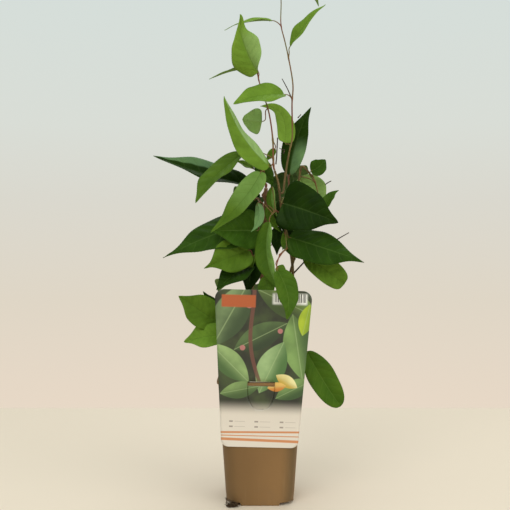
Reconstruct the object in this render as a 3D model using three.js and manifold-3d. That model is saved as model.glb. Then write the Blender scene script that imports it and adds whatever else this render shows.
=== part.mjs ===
// A young hardy kiwi vine in a square nursery pot with a printed picture label.
// Millimetres, +Z up, the front of the pot towards -Y. The origin is the middle of the pot's
// flat underside.
import * as THREE from "three";
import { mergeVertices } from "three/addons/utils/BufferGeometryUtils.js";
import Module from "manifold-3d";

// Driving dimensions of the pot and its filling
const pot = {
  footWidth: 71,
  rimWidth: 88,
  height: 130,
  wall: 1.2,
  floor: 1.8,
  cornerRadius: 15,
  flangeWidth: 90.5,
  flangeHeight: 3.5,
};
const drain = { footHalf: 20, cornerSide: 20, rise: 3, holeRadius: 4, holeFromMiddle: 27 };
const soilTop = 118;
const gap = 0.3;

// Driving dimensions of the label that hangs on the rim
const label = {
  lowEdge: 62.5,
  height: 163.6,
  lowWidth: 79,
  topWidth: 99.5,
  thickness: 0.8,
  offCentre: 1.6,
  turn: -1.5,
  lowCorner: 7,
  topCorner: 10,
};

// The opening in the card, and the tongue that folds from its upper edge back over the rim
const slot = { width: 28, low: 64.3, high: 69, round: 1 };
const tongue = { width: 25, legLow: 119.2, legInset: 2 };

// Driving dimensions of a leaf blade, as shares of its length or width
const leafForm = {
  stations: [0, 0.08, 0.28, 0.54, 0.8, 1],
  thickShare: 0.012,
  leastThick: 0.7,
  baseHalf: 0.9,
  tipHalf: 0.4,
  petiole: 0.9,
};

const colours = {
  pot: 0x85643e,
  soil: 0x3a2a1d,
  label: 0xe4ddcb,
  root: 0x4a3020,
  bark: 0x6e4630,
  shoot: 0x8a5236,
  leaf: 0x4c7a26,
};

const wasm = await Module();
wasm.setup();

const vec = (p) => new THREE.Vector3(...p);
const degrees = (angle) => THREE.MathUtils.degToRad(angle);

// A closed geometry as a solid that can be joined and cut
function solidOf(geometry) {
  const bare = geometry.clone();
  bare.deleteAttribute("normal");
  bare.deleteAttribute("uv");
  const merged = mergeVertices(bare, 1e-5);
  const mesh = new wasm.Mesh({
    numProp: 3,
    vertProperties: new Float32Array(merged.attributes.position.array),
    triVerts: new Uint32Array(merged.index.array),
  });
  return new wasm.Manifold(mesh);
}

function geometryOf(solid) {
  const mesh = solid.getMesh();
  const geometry = new THREE.BufferGeometry();
  geometry.setAttribute("position", new THREE.BufferAttribute(mesh.vertProperties, 3));
  geometry.setIndex(new THREE.BufferAttribute(mesh.triVerts, 1));
  return geometry;
}

const fuse = (solids) => solids.reduce((whole, next) => whole.add(next));

// The largest body of a fused solid, with any hollow that fusing sealed filled
const outerSkin = (solid) => solid.decompose().sort((a, b) => b.volume() - a.volume())[0];

function named(name, solid, colour, roughness) {
  const material = new THREE.MeshStandardMaterial({ color: colour, roughness, metalness: 0 });
  const mesh = new THREE.Mesh(geometryOf(solid), material);
  mesh.name = name;
  return mesh;
}

// Moves every vertex of a geometry by a function of its place
function bend(geometry, move) {
  const places = geometry.attributes.position;
  for (let i = 0; i < places.count; i += 1) {
    const moved = move(new THREE.Vector3().fromBufferAttribute(places, i));
    places.setXYZ(i, moved.x, moved.y, moved.z);
  }
  return geometry;
}

// The pot: a square tube with round corners that widens upwards

const potWidthAt = (z) => pot.footWidth + ((pot.rimWidth - pot.footWidth) * z) / pot.height;

function roundedSquare(width, radius) {
  const flat = width / 2 - radius;
  const outline = new THREE.Shape();
  outline.absarc(flat, flat, radius, 0, Math.PI / 2);
  outline.absarc(-flat, flat, radius, Math.PI / 2, Math.PI);
  outline.absarc(-flat, -flat, radius, Math.PI, 1.5 * Math.PI);
  outline.absarc(flat, -flat, radius, 1.5 * Math.PI, 2 * Math.PI);
  outline.closePath();
  return outline;
}

// A block that follows the pot's wall from one height to another, inset from its outside
function potBlock(low, high, inset) {
  const middle = (low + high) / 2;
  const width = potWidthAt(middle) - 2 * inset;
  const outline = roundedSquare(width, pot.cornerRadius - inset);
  const block = new THREE.ExtrudeGeometry(outline, { depth: 1, bevelEnabled: false, curveSegments: 5 });
  return solidOf(
    bend(block, (p) => {
      const z = low + p.z * (high - low);
      const grow = (potWidthAt(z) - 2 * inset) / width;
      return new THREE.Vector3(p.x * grow, p.y * grow, z);
    }),
  );
}

function box(sizes, middle) {
  return solidOf(new THREE.BoxGeometry(...sizes).translate(...middle));
}

// Four blocks under the pot's corners, from the ground to a height
function cornerBlocks(high) {
  const side = drain.cornerSide;
  const reach = drain.footHalf + side / 2;
  const blocks = [1, -1].flatMap((x) =>
    [1, -1].map((y) => box([side, side, high + 1], [x * reach, y * reach, (high - 1) / 2])),
  );
  return fuse(blocks);
}

function drainHoles() {
  const holes = [1, -1].flatMap((x) =>
    [1, -1].map((y) => {
      const hole = new THREE.CylinderGeometry(drain.holeRadius, drain.holeRadius, 8, 12);
      hole.rotateX(Math.PI / 2);
      hole.translate(x * drain.holeFromMiddle, y * drain.holeFromMiddle, drain.rise + pot.floor);
      return solidOf(hole);
    }),
  );
  return fuse(holes);
}

function potShell() {
  const flangeOutline = roundedSquare(pot.flangeWidth, pot.cornerRadius + 1);
  const flange = new THREE.ExtrudeGeometry(flangeOutline, {
    depth: pot.flangeHeight,
    bevelEnabled: false,
    curveSegments: 5,
  });
  flange.translate(0, 0, pot.height - pot.flangeHeight);
  const cavity = potBlock(pot.floor, pot.height + 1, pot.wall).subtract(
    cornerBlocks(drain.rise + pot.floor),
  );
  return potBlock(0, pot.height, 0)
    .add(solidOf(flange))
    .subtract(cavity)
    .subtract(cornerBlocks(drain.rise))
    .subtract(drainHoles());
}

function soilBlock() {
  const low = pot.floor + gap;
  return potBlock(low, soilTop, pot.wall + gap).subtract(
    cornerBlocks(drain.rise + pot.floor + gap),
  );
}

// The label: a tapered card with a slot, whose tongue hooks over the rim

function labelCard() {
  const halfLow = label.lowWidth / 2;
  const halfTop = label.topWidth / 2;
  const low = label.lowCorner;
  const top = label.topCorner;
  const high = label.height;
  const card = new THREE.Shape();
  card.moveTo(-halfLow + low, 0);
  card.lineTo(halfLow - low, 0);
  card.quadraticCurveTo(halfLow, 0, halfLow + 0.5, low);
  card.lineTo(halfTop - 0.6, high - top);
  card.quadraticCurveTo(halfTop, high, halfTop - top, high);
  card.lineTo(-halfTop + top, high);
  card.quadraticCurveTo(-halfTop, high, -halfTop + 0.6, high - top);
  card.lineTo(-halfLow - 0.5, low);
  card.quadraticCurveTo(-halfLow, 0, -halfLow + low, 0);
  const window = new THREE.Path();
  const side = slot.width / 2;
  window.moveTo(-side, slot.high);
  window.lineTo(-side, slot.low + slot.round);
  window.quadraticCurveTo(-side, slot.low, -side + slot.round, slot.low);
  window.lineTo(side - slot.round, slot.low);
  window.quadraticCurveTo(side, slot.low, side, slot.low + slot.round);
  window.lineTo(side, slot.high);
  card.holes.push(window);
  const plate = new THREE.ExtrudeGeometry(card, {
    depth: label.thickness,
    bevelEnabled: false,
    curveSegments: 8,
  });
  const footY = -potWidthAt(label.lowEdge) / 2 - gap;
  const rimY = -pot.flangeWidth / 2 - gap;
  const lean = Math.atan((footY - rimY) / (pot.height - 2 - label.lowEdge));
  plate.translate(0, -label.height / 2, 0);
  plate.rotateZ(degrees(label.turn));
  plate.translate(0, label.height / 2, 0);
  plate.rotateX(Math.PI / 2 + lean);
  plate.translate(label.offCentre, footY, label.lowEdge);
  return solidOf(plate);
}

function labelTongue() {
  const rimTop = pot.height + gap;
  const outerY = -pot.flangeWidth / 2 - gap - label.thickness;
  const innerY = -pot.rimWidth / 2 + tongue.legInset;
  const legHigh = rimTop + label.thickness;
  const bridge = box(
    [tongue.width, innerY + label.thickness - outerY, label.thickness],
    [label.offCentre, (innerY + label.thickness + outerY) / 2, rimTop + label.thickness / 2],
  );
  const leg = box(
    [tongue.width, label.thickness, legHigh - tongue.legLow],
    [label.offCentre, innerY + label.thickness / 2, (legHigh + tongue.legLow) / 2],
  );
  return bridge.add(leg);
}

// A limb: a round bar carried along a curve, thick at its foot and thin at its tip

function curveThrough(points) {
  return new THREE.CatmullRomCurve3(points.map(vec), false, "centripetal");
}

function bar(path, radiusAt, sides, rows) {
  const frames = path.computeFrenetFrames(rows);
  const straight = new THREE.CylinderGeometry(1, 1, 1, sides, rows);
  return solidOf(
    bend(straight, (p) => {
      const row = Math.round((p.y + 0.5) * rows);
      const radius = radiusAt(row / rows);
      return path
        .getPointAt(row / rows)
        .addScaledVector(frames.normals[row], p.x * radius)
        .addScaledVector(frames.binormals[row], -p.z * radius);
    }),
  );
}

// Radius along a limb: an even taper, with a flare that dies away above the foot
function taper({ foot, tip, flare = 0 }) {
  return (t) => foot + (tip - foot) * t + flare * Math.exp(-t * 22);
}

function limb({ through, foot, tip, flare, sides = 8, rows = 16 }) {
  const path = curveThrough(through);
  const radiusAt = taper({ foot, tip, flare });
  return { path, radiusAt, solid: bar(path, radiusAt, sides, rows) };
}

// The point on a limb at a height, found by halving
function shareAtHeight(path, z) {
  let [low, high] = [0, 1];
  for (let step = 0; step < 24; step += 1) {
    const middle = (low + high) / 2;
    if (path.getPointAt(middle).z < z) {
      low = middle;
    } else {
      high = middle;
    }
  }
  return low;
}

// Where a side twig starts: on a limb's bark at a height, a gap clear of it, on one heading
function onBark(parent, z, heading) {
  const share = shareAtHeight(parent.path, z);
  const out = parent.radiusAt(share) + gap + 0.1;
  const angle = degrees(heading);
  const start = parent.path.getPointAt(share);
  return [
    [start.x + out * Math.cos(angle), start.y + out * Math.sin(angle), start.z],
    [start.x + (out + 3) * Math.cos(angle), start.y + (out + 3) * Math.sin(angle), start.z + 0.6],
  ];
}

// Where a twig goes on from a limb's tip
function onTip(parent) {
  const end = parent.path.getPointAt(1);
  const along = parent.path.getTangentAt(1);
  return [end.clone().addScaledVector(along, gap + 0.1), end.clone().addScaledVector(along, 4)].map(
    (p) => p.toArray(),
  );
}

const limbs = {
  trunk: limb({
    through: [[0, 4, 112], [0, 4, 124], [0.5, 4, 150], [2, 4, 195], [3, 4, 237], [6, 4, 290], [6.5, 4, 334]],
    foot: 3.5,
    tip: 1.9,
    flare: 3,
    sides: 10,
    rows: 18,
  }),
  right_stem: limb({
    through: [
      [20, 8, 112],
      [21, 8, 122],
      [26, 8, 160],
      [33, 8, 205],
      [36, 5, 240],
      [34, 3, 262],
      [27, -1, 292],
      [23, -4, 311],
      [20, -4, 338],
      [16, -4, 352],
    ],
    foot: 1.9,
    tip: 1.2,
    flare: 1,
    rows: 22,
  }),
  thin_stem: limb({
    through: [
      [8, 14, 112],
      [9, 14, 122],
      [18, 14, 170],
      [28, 13, 215],
      [33, 12, 240],
      [39, 11, 262],
      [40, 10, 280],
      [36, 10, 305],
      [33, 11, 326],
    ],
    foot: 1.6,
    tip: 1.1,
    flare: 0.8,
    sides: 6,
    rows: 20,
  }),
};
limbs.leader = limb({
  through: [...onBark(limbs.right_stem, 328, 40), [27, 1, 343], [29, 2, 357], [32, 2, 373]],
  foot: 1.2,
  tip: 1.05,
  sides: 6,
  rows: 8,
});
limbs.side_shoot = limb({
  through: [...onBark(limbs.thin_stem, 318, 0), [43, 7, 345], [46, 4, 358], [52, 3, 353], [57, 3, 346]],
  foot: 1.3,
  tip: 1.1,
  sides: 6,
  rows: 10,
});

// A leaf blade: an oval with a long tip, folded a little along its midrib.
// base and tip are the two ends of the midrib and faces is where the upper side looks.
// sweep and arch are how far the midrib's middle lies to the right and towards the upper side, and lead is
// how far its bend lies towards the tip.
function midrib({ base, tip, faces, sweep = 0, arch = 0, lead = 0 }) {
  const start = vec(base);
  const end = vec(tip);
  const along = end.clone().sub(start).normalize();
  const up = vec(faces);
  up.addScaledVector(along, -up.dot(along)).normalize();
  const right = along.clone().cross(up);
  const middle = start.clone().add(end).multiplyScalar(0.5);
  middle.addScaledVector(right, 2 * sweep).addScaledVector(up, 2 * arch).addScaledVector(along, lead);
  return { path: new THREE.QuadraticBezierCurve3(start, middle, end), up };
}

// Half the blade's width as a share of the greatest, which it has at widest: roundBase tells how bluntly
// the base ends, and drawn how much the last third is drawn in to a long tip
function bladeHalf(u, { widest = 0.38, drawn = 0.45, roundBase = 0.5 }) {
  const high = (roundBase * (1 - widest)) / widest;
  const body = (u ** roundBase * (1 - u) ** high) / (widest ** roundBase * (1 - widest) ** high);
  return body * (1 - drawn * THREE.MathUtils.smoothstep(u, 0.6, 0.92));
}

function blade(leaf) {
  const { path, up } = midrib(leaf);
  const { stations } = leafForm;
  const length = path.getLength();
  const thick = Math.max(leafForm.leastThick, leafForm.thickShare * length);
  const fold = degrees(leaf.fold ?? 18);
  const flat = new THREE.BoxGeometry(1, 1, 1, 2, stations.length - 1, 1);
  return solidOf(
    bend(flat, (p) => {
      const u = stations[Math.round((p.y + 0.5) * (stations.length - 1))];
      const tangent = path.getTangent(u);
      const side = tangent.clone().cross(up).normalize();
      const normal = side.clone().cross(tangent);
      const least = u < 0.5 ? leafForm.baseHalf : leafForm.tipHalf;
      const half = Math.max(least, (leaf.width / 2) * bladeHalf(u, leaf));
      return path
        .getPoint(u)
        .addScaledVector(side, 2 * p.x * half * Math.cos(fold))
        .addScaledVector(normal, Math.abs(2 * p.x) * half * Math.sin(fold) + p.z * thick);
    }),
  );
}

// The leaf's stalk: from the twig to the blade, and on under the midrib
function stalk(stem, leaf) {
  const { path } = midrib(leaf);
  const start = stem.path.getPointAt(leaf.on);
  const base = path.getPoint(0);
  const inward = path.getTangent(0).multiplyScalar(-0.3 * start.distanceTo(base));
  const lift = new THREE.Vector3(0, 0, 0.12 * start.distanceTo(base));
  const between = start.clone().lerp(base, 0.35).add(lift);
  const near = base.clone().add(inward).lerp(start.clone().lerp(base, 0.75), 0.5);
  const points = [start, between, near, base, path.getPoint(0.05)];
  const curve = new THREE.CatmullRomCurve3(points, false, "centripetal");
  return bar(curve, () => leafForm.petiole, 3, 4);
}

// The same small random series wherever this plant is worked out again
function series(seed) {
  let state = seed;
  return () => {
    state = (state * 16807) % 2147483647;
    return state / 2147483647;
  };
}

// Leaves by rule: along the twig at even steps, on headings inside a fan, drooping outwards
function leavesByRule(stem, { count, from, heading, fan, sizes, droop = [12, 54], seed }) {
  const next = series(seed);
  const leaves = [];
  for (let k = 0; k < count; k += 1) {
    const on = from + ((1 - from) * (k + 0.5)) / count;
    const turn = ((k * 0.618 + next() * 0.2) % 1) * 2 - 1;
    const angle = degrees(heading + fan * turn);
    const out = new THREE.Vector3(Math.cos(angle), Math.sin(angle), 0);
    const reach = 14 + 10 * next();
    const length = sizes[0] + (sizes[1] - sizes[0]) * next();
    const down = degrees(droop[0] + (droop[1] - droop[0]) * next());
    const start = stem.path.getPointAt(on);
    const base = start.clone().addScaledVector(out, reach);
    base.z += 3 + 9 * next();
    const tip = base.clone().addScaledVector(out, length * Math.cos(down));
    tip.z -= length * Math.sin(down);
    leaves.push({
      on,
      base: base.toArray(),
      tip: tip.toArray(),
      width: length * (0.44 + 0.1 * next()),
      faces: [out.x * 0.5, out.y * 0.5, 1],
      sweep: 6 * next() - 3,
      arch: 0.07 * length,
    });
  }
  return leaves;
}

// The masses of foliage, each on one twig. Leaves that show from the front are told one by one.
const masses = {
  leader_foliage: {
    start: onTip(limbs.leader),
    through: [
      [35, 2, 387],
      [35, 2, 427],
      [36, 2, 446],
      [31, 2, 477],
      [27, 2, 495],
      [23, 2, 512],
      [23, 2, 539],
      [20, 1, 575],
      [17, 0, 596],
    ],
    foot: 1.05,
    tip: 0.5,
    rows: 22,
    leaves: [
      {
        on: 0.03,
        base: [27.5, 6, 384],
        tip: [0.6, 11, 425.5],
        width: 21,
        faces: [0.3, -0.9, 0.2],
        sweep: 16,
        lead: 12,
        fold: 10,
        widest: 0.18,
        drawn: 0,
        roundBase: 0.2,
      },
      {
        on: 0.26,
        base: [26, -8, 434],
        tip: [-28, -24, 421],
        width: 30,
        faces: [-0.1, -0.8, 0.6],
        arch: 4,
        roundBase: 0.4,
      },
      {
        on: 0.46,
        base: [33, -2, 488],
        tip: [68, -22, 527],
        width: 21,
        faces: [-0.6, -0.6, 0.5],
        sweep: 2.5,
        arch: 3,
        widest: 0.33,
        drawn: 0.3,
      },
      {
        on: 0.62,
        base: [13, 2, 517],
        tip: [-39, -3, 507.4],
        width: 14,
        faces: [-0.1, -0.5, 0.86],
        arch: 1,
        widest: 0.26,
        drawn: 0.85,
      },
      { on: 0.85, base: [12, -6, 572], tip: [-16, -20, 588], width: 19, faces: [-0.4, -0.4, 0.8], arch: 3 },
      { on: 0.93, base: [23, 3, 589], tip: [44, 4, 602], width: 15, faces: [0.2, -0.5, 0.8], arch: 2 },
      { on: 0.99, base: [15, 2, 600], tip: [8, 5, 615], width: 8, faces: [-0.5, -0.7, 0.4] },
    ],
    more: { count: 2, from: 0.78, heading: 70, fan: 50, sizes: [34, 44], seed: 19 },
  },
  upper_left_foliage: {
    start: onTip(limbs.right_stem),
    through: [[14, -4, 384], [12, -4, 402], [9, -4, 418], [3, -2, 437], [-1, -1, 450], [-3, 1, 460]],
    foot: 1.2,
    tip: 0.7,
    rows: 18,
    leaves: [
      {
        on: 0.92,
        base: [-1.6, -2, 458],
        tip: [-21.4, -22, 516.4],
        width: 42,
        faces: [-0.645, -0.636, -0.419],
        sweep: -3.5,
        fold: 20,
        widest: 0.27,
        drawn: 0.65,
        roundBase: 0.35,
      },
      {
        on: 0.99,
        base: [-9.1, 14, 468],
        tip: [-55.6, 6, 453],
        width: 14,
        faces: [-0.1, -0.1, 0.99],
        arch: 3,
      },
      {
        on: 0.62,
        base: [2, 9, 408],
        tip: [-20, 2, 409],
        width: 29,
        faces: [0, 1, 0.1],
        fold: 14,
        widest: 0.2,
        drawn: 0,
        roundBase: 0.22,
      },
      {
        on: 0.06,
        base: [10.2, -11, 356],
        tip: [-37.2, -18, 430.6],
        width: 30,
        faces: [0.57, -0.74, 0.35],
        sweep: -10,
        fold: -22,
        widest: 0.3,
        drawn: 0.3,
        roundBase: 0.35,
      },
      {
        on: 0.12,
        base: [-18, 0, 371],
        tip: [-67, -32, 315],
        width: 31,
        faces: [-0.3, -0.6, 0.7],
        sweep: 8,
        roundBase: 0.45,
      },
      { on: 0.3, base: [16.4, 2, 377], tip: [6.5, 0, 363], width: 8, faces: [0, -1, 0] },
    ],
  },
  left_foliage: {
    start: onTip(limbs.trunk),
    through: [[5, 4, 339], [3, 5, 346]],
    foot: 1.5,
    tip: 0.9,
    rows: 4,
    leaves: [
      {
        on: 0.5,
        base: [-11, 16, 338],
        tip: [-117, 6, 370],
        width: 38,
        faces: [0, -0.62, 0.78],
        arch: -3,
        fold: 24,
      },
      {
        on: 0.3,
        base: [1.1, -20, 349],
        tip: [-50.6, -40, 283.7],
        width: 26.5,
        faces: [-0.25, -0.9, 0.35],
        sweep: -4.5,
        lead: -8,
        widest: 0.34,
        drawn: 0.5,
        roundBase: 0.35,
      },
      { on: 0.9, base: [-4, 9, 363], tip: [15, 11, 337], width: 23, faces: [0.3, -0.8, 0.4] },
      { on: 0.95, base: [-7, 7, 355.5], tip: [-28, 5, 365], width: 11, faces: [0, -0.6, 0.8] },
    ],
  },
  middle_left_foliage: {
    start: onBark(limbs.trunk, 282, 200),
    through: [[-4, 0, 290], [-7, -1, 294]],
    foot: 1.3,
    tip: 0.9,
    rows: 4,
    leaves: [
      {
        on: 0.9,
        base: [-11, -1, 296],
        tip: [-103, -20, 258],
        width: 45,
        faces: [-0.2, -0.75, 0.6],
        arch: 5,
      },
      {
        on: 0.5,
        base: [-2, -11, 287],
        tip: [-49, -30, 286],
        width: 44,
        faces: [0, -1, 0.15],
        arch: 2,
        widest: 0.3,
        roundBase: 0.3,
      },
      { on: 0.3, base: [-4.3, -2, 322], tip: [-26, -6, 296.5], width: 22, faces: [-0.2, -0.95, 0] },
    ],
  },
  lower_left_foliage: {
    start: onBark(limbs.trunk, 250, 230),
    through: [[-5, -6, 256], [-7, -10, 258]],
    foot: 1.3,
    tip: 0.9,
    rows: 4,
    leaves: [
      {
        on: 0.95,
        base: [-11.8, -8, 266],
        tip: [-58.7, -26, 247.4],
        width: 39,
        faces: [-0.05, -0.98, 0.2],
        arch: 2,
        roundBase: 0.35,
      },
      { on: 0.7, base: [-9, -8, 251], tip: [-46, -23, 224], width: 33, faces: [-0.1, -0.7, 0.7], arch: 3 },
      { on: 0.6, base: [9, -24, 238], tip: [2, -34, 209], width: 18, faces: [0.1, -0.9, 0.3], arch: 2 },
      { on: 0.3, base: [-6.5, -3, 260], tip: [-14, -9, 217], width: 22, faces: [0, -0.95, 0.2] },
      { on: 0.5, base: [-6, -14, 261], tip: [-10.6, -18, 242], width: 4.5, faces: [-0.3, -0.9, 0.1] },
    ],
  },
  centre_foliage: {
    start: onBark(limbs.right_stem, 306, 230),
    through: [[17, -14, 308], [12.5, -22, 304]],
    foot: 1.1,
    tip: 0.8,
    rows: 4,
    leaves: [
      {
        on: 0.97,
        base: [9.9, -34, 295.3],
        tip: [20, -46, 225],
        width: 27,
        faces: [-0.7, -0.7, 0.1],
        sweep: 10,
        fold: 27,
        drawn: 0.2,
      },
      {
        on: 0.6,
        base: [13.5, -12, 334],
        tip: [20, -14, 300],
        width: 10,
        faces: [-0.3, -0.9, 0.1],
        sweep: 4.5,
      },
      {
        on: 0.9,
        base: [-2.6, -26, 315.6],
        tip: [-8.9, -34, 284.3],
        width: 10,
        faces: [0.2, 0.95, 0.1],
        sweep: 5,
        fold: 8,
      },
      {
        on: 0.7,
        base: [8, -12, 313.4],
        tip: [22.5, -14, 285],
        width: 9,
        faces: [-0.2, -0.95, 0.1],
        sweep: 3,
      },
      { on: 0.5, base: [18.4, -4, 292], tip: [18.3, -8, 261], width: 14, faces: [0, -1, 0] },
    ],
  },
  front_foliage: {
    start: onBark(limbs.right_stem, 266, 270),
    through: [[30, -14, 268], [26, -32, 266], [20, -45, 261]],
    foot: 1.1,
    tip: 0.8,
    rows: 8,
    leaves: [
      {
        on: 0.99,
        base: [17.2, -54, 246],
        tip: [27.3, -68, 197.5],
        width: 24,
        faces: [0.3, -0.95, 0.1],
        sweep: -5.5,
        roundBase: 0.4,
      },
      { on: 0.45, base: [26, -15, 285], tip: [24, -17, 266], width: 8, faces: [0.5, -0.8, 0] },
      { on: 0.8, base: [17.5, -42, 249], tip: [26, -46, 241], width: 11, faces: [0.1, -0.9, 0.5] },
    ],
  },
  right_foliage: {
    start: onBark(limbs.right_stem, 316, 300),
    through: [[25, -9, 321], [26, -11, 323]],
    foot: 1.2,
    tip: 0.9,
    rows: 4,
    leaves: [
      {
        on: 0.9,
        base: [27.8, -18, 315],
        tip: [81, -36, 294.8],
        width: 53,
        faces: [-0.1, -1, 0.05],
        sweep: -0.5,
        arch: 4,
        fold: 12,
        widest: 0.2,
        drawn: 0.45,
        roundBase: 0.18,
      },
      { on: 0.5, base: [25.9, 5, 313.6], tip: [33.3, 6, 279], width: 26, faces: [0, -1, 0], fold: 8 },
    ],
  },
  lower_right_foliage: {
    start: onBark(limbs.right_stem, 258, 320),
    through: [[42, -3, 263], [46, -5, 266]],
    foot: 1.2,
    tip: 0.9,
    rows: 4,
    leaves: [
      {
        on: 0.6,
        base: [30.5, -14, 281],
        tip: [108, -37, 254],
        width: 39,
        faces: [0, -0.82, 0.5],
        arch: 3,
        roundBase: 0.4,
      },
      {
        on: 0.95,
        base: [48, -2, 261],
        tip: [90, -15, 230],
        width: 28,
        faces: [0, -1, 0.2],
        arch: 2,
        widest: 0.6,
        drawn: 0,
        roundBase: 0.45,
      },
    ],
  },
  side_shoot_foliage: {
    start: onTip(limbs.side_shoot),
    through: [[62, 4, 335], [64, 5, 326]],
    foot: 1,
    tip: 0.7,
    rows: 5,
    leaves: [
      {
        on: 0.15,
        base: [55.3, -0.5, 352],
        tip: [70.9, -1, 365.4],
        width: 19,
        faces: [-0.1, -0.98, 0.1],
        sweep: 2,
        roundBase: 0.4,
      },
      {
        on: 0.3,
        base: [43, 13, 346],
        tip: [71, 17, 315],
        width: 36,
        faces: [-0.1, -0.98, 0.1],
        fold: 8,
        widest: 0.45,
        drawn: 0.2,
      },
      { on: 0.97, base: [69.6, 4, 311], tip: [85.2, 2, 332.4], width: 16, faces: [-0.3, -0.8, 0.5] },
    ],
  },
  upright_foliage: {
    start: onTip(limbs.thin_stem),
    through: [[32, 16, 336], [32, 22, 346], [33, 28, 356]],
    foot: 1.1,
    tip: 0.7,
    rows: 7,
    leaves: [
      {
        on: 0.25,
        base: [33, 18, 350],
        tip: [56.5, 14, 425],
        width: 28,
        faces: [-0.2, -0.95, 0.1],
        sweep: -4,
      },
    ],
    more: { count: 3, from: 0.2, heading: 88, fan: 26, sizes: [52, 70], seed: 23 },
  },
  low_left_foliage: {
    start: onBark(limbs.trunk, 166, 210),
    through: [[-16, -6, 176], [-30, -16, 184], [-35, -20, 186]],
    foot: 1.2,
    tip: 0.9,
    rows: 8,
    leaves: [
      {
        on: 0.98,
        base: [-44, -25, 189.5],
        tip: [-85, -31, 218],
        width: 35,
        faces: [-0.2, -0.9, 0.3],
        arch: 3,
      },
      { on: 0.85, base: [-44, -14, 193], tip: [-61, -17, 222], width: 19, faces: [0.5, -0.7, 0.4] },
      {
        on: 0.75,
        base: [-36, -31, 178],
        tip: [-79, -36, 171],
        width: 29,
        faces: [0, -0.85, 0.5],
        arch: 3,
        roundBase: 0.4,
      },
    ],
  },
  low_right_foliage: {
    start: onBark(limbs.right_stem, 150, 330),
    through: [[33, -2, 160], [41, -9, 164]],
    foot: 1.1,
    tip: 0.8,
    rows: 4,
    leaves: [
      {
        on: 0.97,
        base: [50, -15, 158],
        tip: [86.5, -21, 100.5],
        width: 31,
        faces: [0.2, -0.95, 0.1],
        sweep: -1,
        arch: 2,
        widest: 0.5,
        drawn: 0,
        roundBase: 0.5,
      },
    ],
    more: { count: 1, from: 0.3, heading: 75, fan: 5, sizes: [60, 64], seed: 3 },
  },
  back_left_foliage: {
    start: onBark(limbs.trunk, 300, 100),
    through: [[4, 13, 307], [-1, 20, 317], [-6, 26, 328]],
    foot: 1.4,
    tip: 0.8,
    rows: 6,
    leaves: [],
    more: { count: 5, from: 0.25, heading: 102, fan: 12, sizes: [54, 72], droop: [5, 38], seed: 41 },
  },
  back_right_foliage: {
    start: onBark(limbs.trunk, 256, 80),
    through: [[7, 18, 266], [11, 25, 278], [16, 30, 290]],
    foot: 1.4,
    tip: 0.8,
    rows: 6,
    leaves: [],
    more: { count: 5, from: 0.3, heading: 54, fan: 22, sizes: [54, 70], droop: [5, 34], seed: 67 },
  },
  back_low_foliage: {
    start: onBark(limbs.trunk, 180, 110),
    through: [[-4, 20, 198], [-10, 28, 216], [-15, 33, 230]],
    foot: 1.3,
    tip: 0.8,
    rows: 6,
    leaves: [],
    more: { count: 4, from: 0.3, heading: 92, fan: 40, sizes: [52, 70], seed: 83 },
  },
};

function foliage({ start, through, foot, tip, rows, leaves, more }) {
  const stem = limb({ through: [...start, ...through], foot, tip, sides: 5, rows });
  const all = more ? [...leaves, ...leavesByRule(stem, more)] : leaves;
  return outerSkin(fuse([stem.solid, ...all.flatMap((leaf) => [stalk(stem, leaf), blade(leaf)])]));
}

// Fine roots that have grown out of the front left drain hole and lie by the pot
function rootTuft() {
  const knob = new THREE.IcosahedronGeometry(1, 1);
  knob.scale(3.4, 2.6, 1);
  knob.translate(-28, -31.5, 1.5);
  const next = series(29);
  const strands = [solidOf(knob)];
  for (let k = 0; k < 5; k += 1) {
    const side = -35 + 14 * (k / 4) + 2 * next();
    const out = -38.5 - 4 * next();
    const high = 1 + 8 * next() * (1 - k / 6);
    const through = [
      [-28, -31.5, 1.5],
      [-29 + 2 * next(), -37.4, 1.4],
      [side, out, 0.9 + high * 0.5],
      [side - 3 + 5 * next(), out - 1.5 * next(), 0.9 + high],
    ];
    strands.push(bar(curveThrough(through), (t) => 0.65 - 0.2 * t, 3, 4));
  }
  return fuse(strands);
}

const plant = new THREE.Group();
plant.add(named("pot", potShell(), colours.pot, 0.5));
plant.add(named("soil", soilBlock(), colours.soil, 1));
plant.add(named("label", labelCard().add(labelTongue()), colours.label, 0.4));
plant.add(named("root_tuft", rootTuft(), colours.root, 0.9));

// Limbs that start in the soil are cut flat, a gap above it
const buried = box([80, 80, 40], [0, 0, soilTop + gap - 20]);
for (const [name, { solid }] of Object.entries(limbs)) {
  plant.add(named(name, solid.subtract(buried), name === "trunk" ? colours.bark : colours.shoot, 0.8));
}
for (const [name, mass] of Object.entries(masses)) {
  plant.add(named(name, foliage(mass), colours.leaf, 0.55));
}

export default plant;
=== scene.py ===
"""A young hardy kiwi vine in a square nursery pot with a printed label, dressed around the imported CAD."""
import math

import bpy
import numpy as np
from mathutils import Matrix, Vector


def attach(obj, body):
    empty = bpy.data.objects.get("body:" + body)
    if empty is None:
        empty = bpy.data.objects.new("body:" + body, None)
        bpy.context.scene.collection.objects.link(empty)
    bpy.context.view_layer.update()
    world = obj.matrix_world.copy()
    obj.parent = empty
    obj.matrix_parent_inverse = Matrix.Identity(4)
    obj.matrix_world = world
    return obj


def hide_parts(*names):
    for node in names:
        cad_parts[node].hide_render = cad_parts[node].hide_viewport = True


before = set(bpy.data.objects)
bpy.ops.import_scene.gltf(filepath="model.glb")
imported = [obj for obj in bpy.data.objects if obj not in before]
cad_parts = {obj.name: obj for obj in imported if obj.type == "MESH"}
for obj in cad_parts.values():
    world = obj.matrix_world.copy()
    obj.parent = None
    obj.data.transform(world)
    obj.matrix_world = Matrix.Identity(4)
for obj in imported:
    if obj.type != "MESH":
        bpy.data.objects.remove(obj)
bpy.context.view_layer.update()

scene = bpy.context.scene


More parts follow.
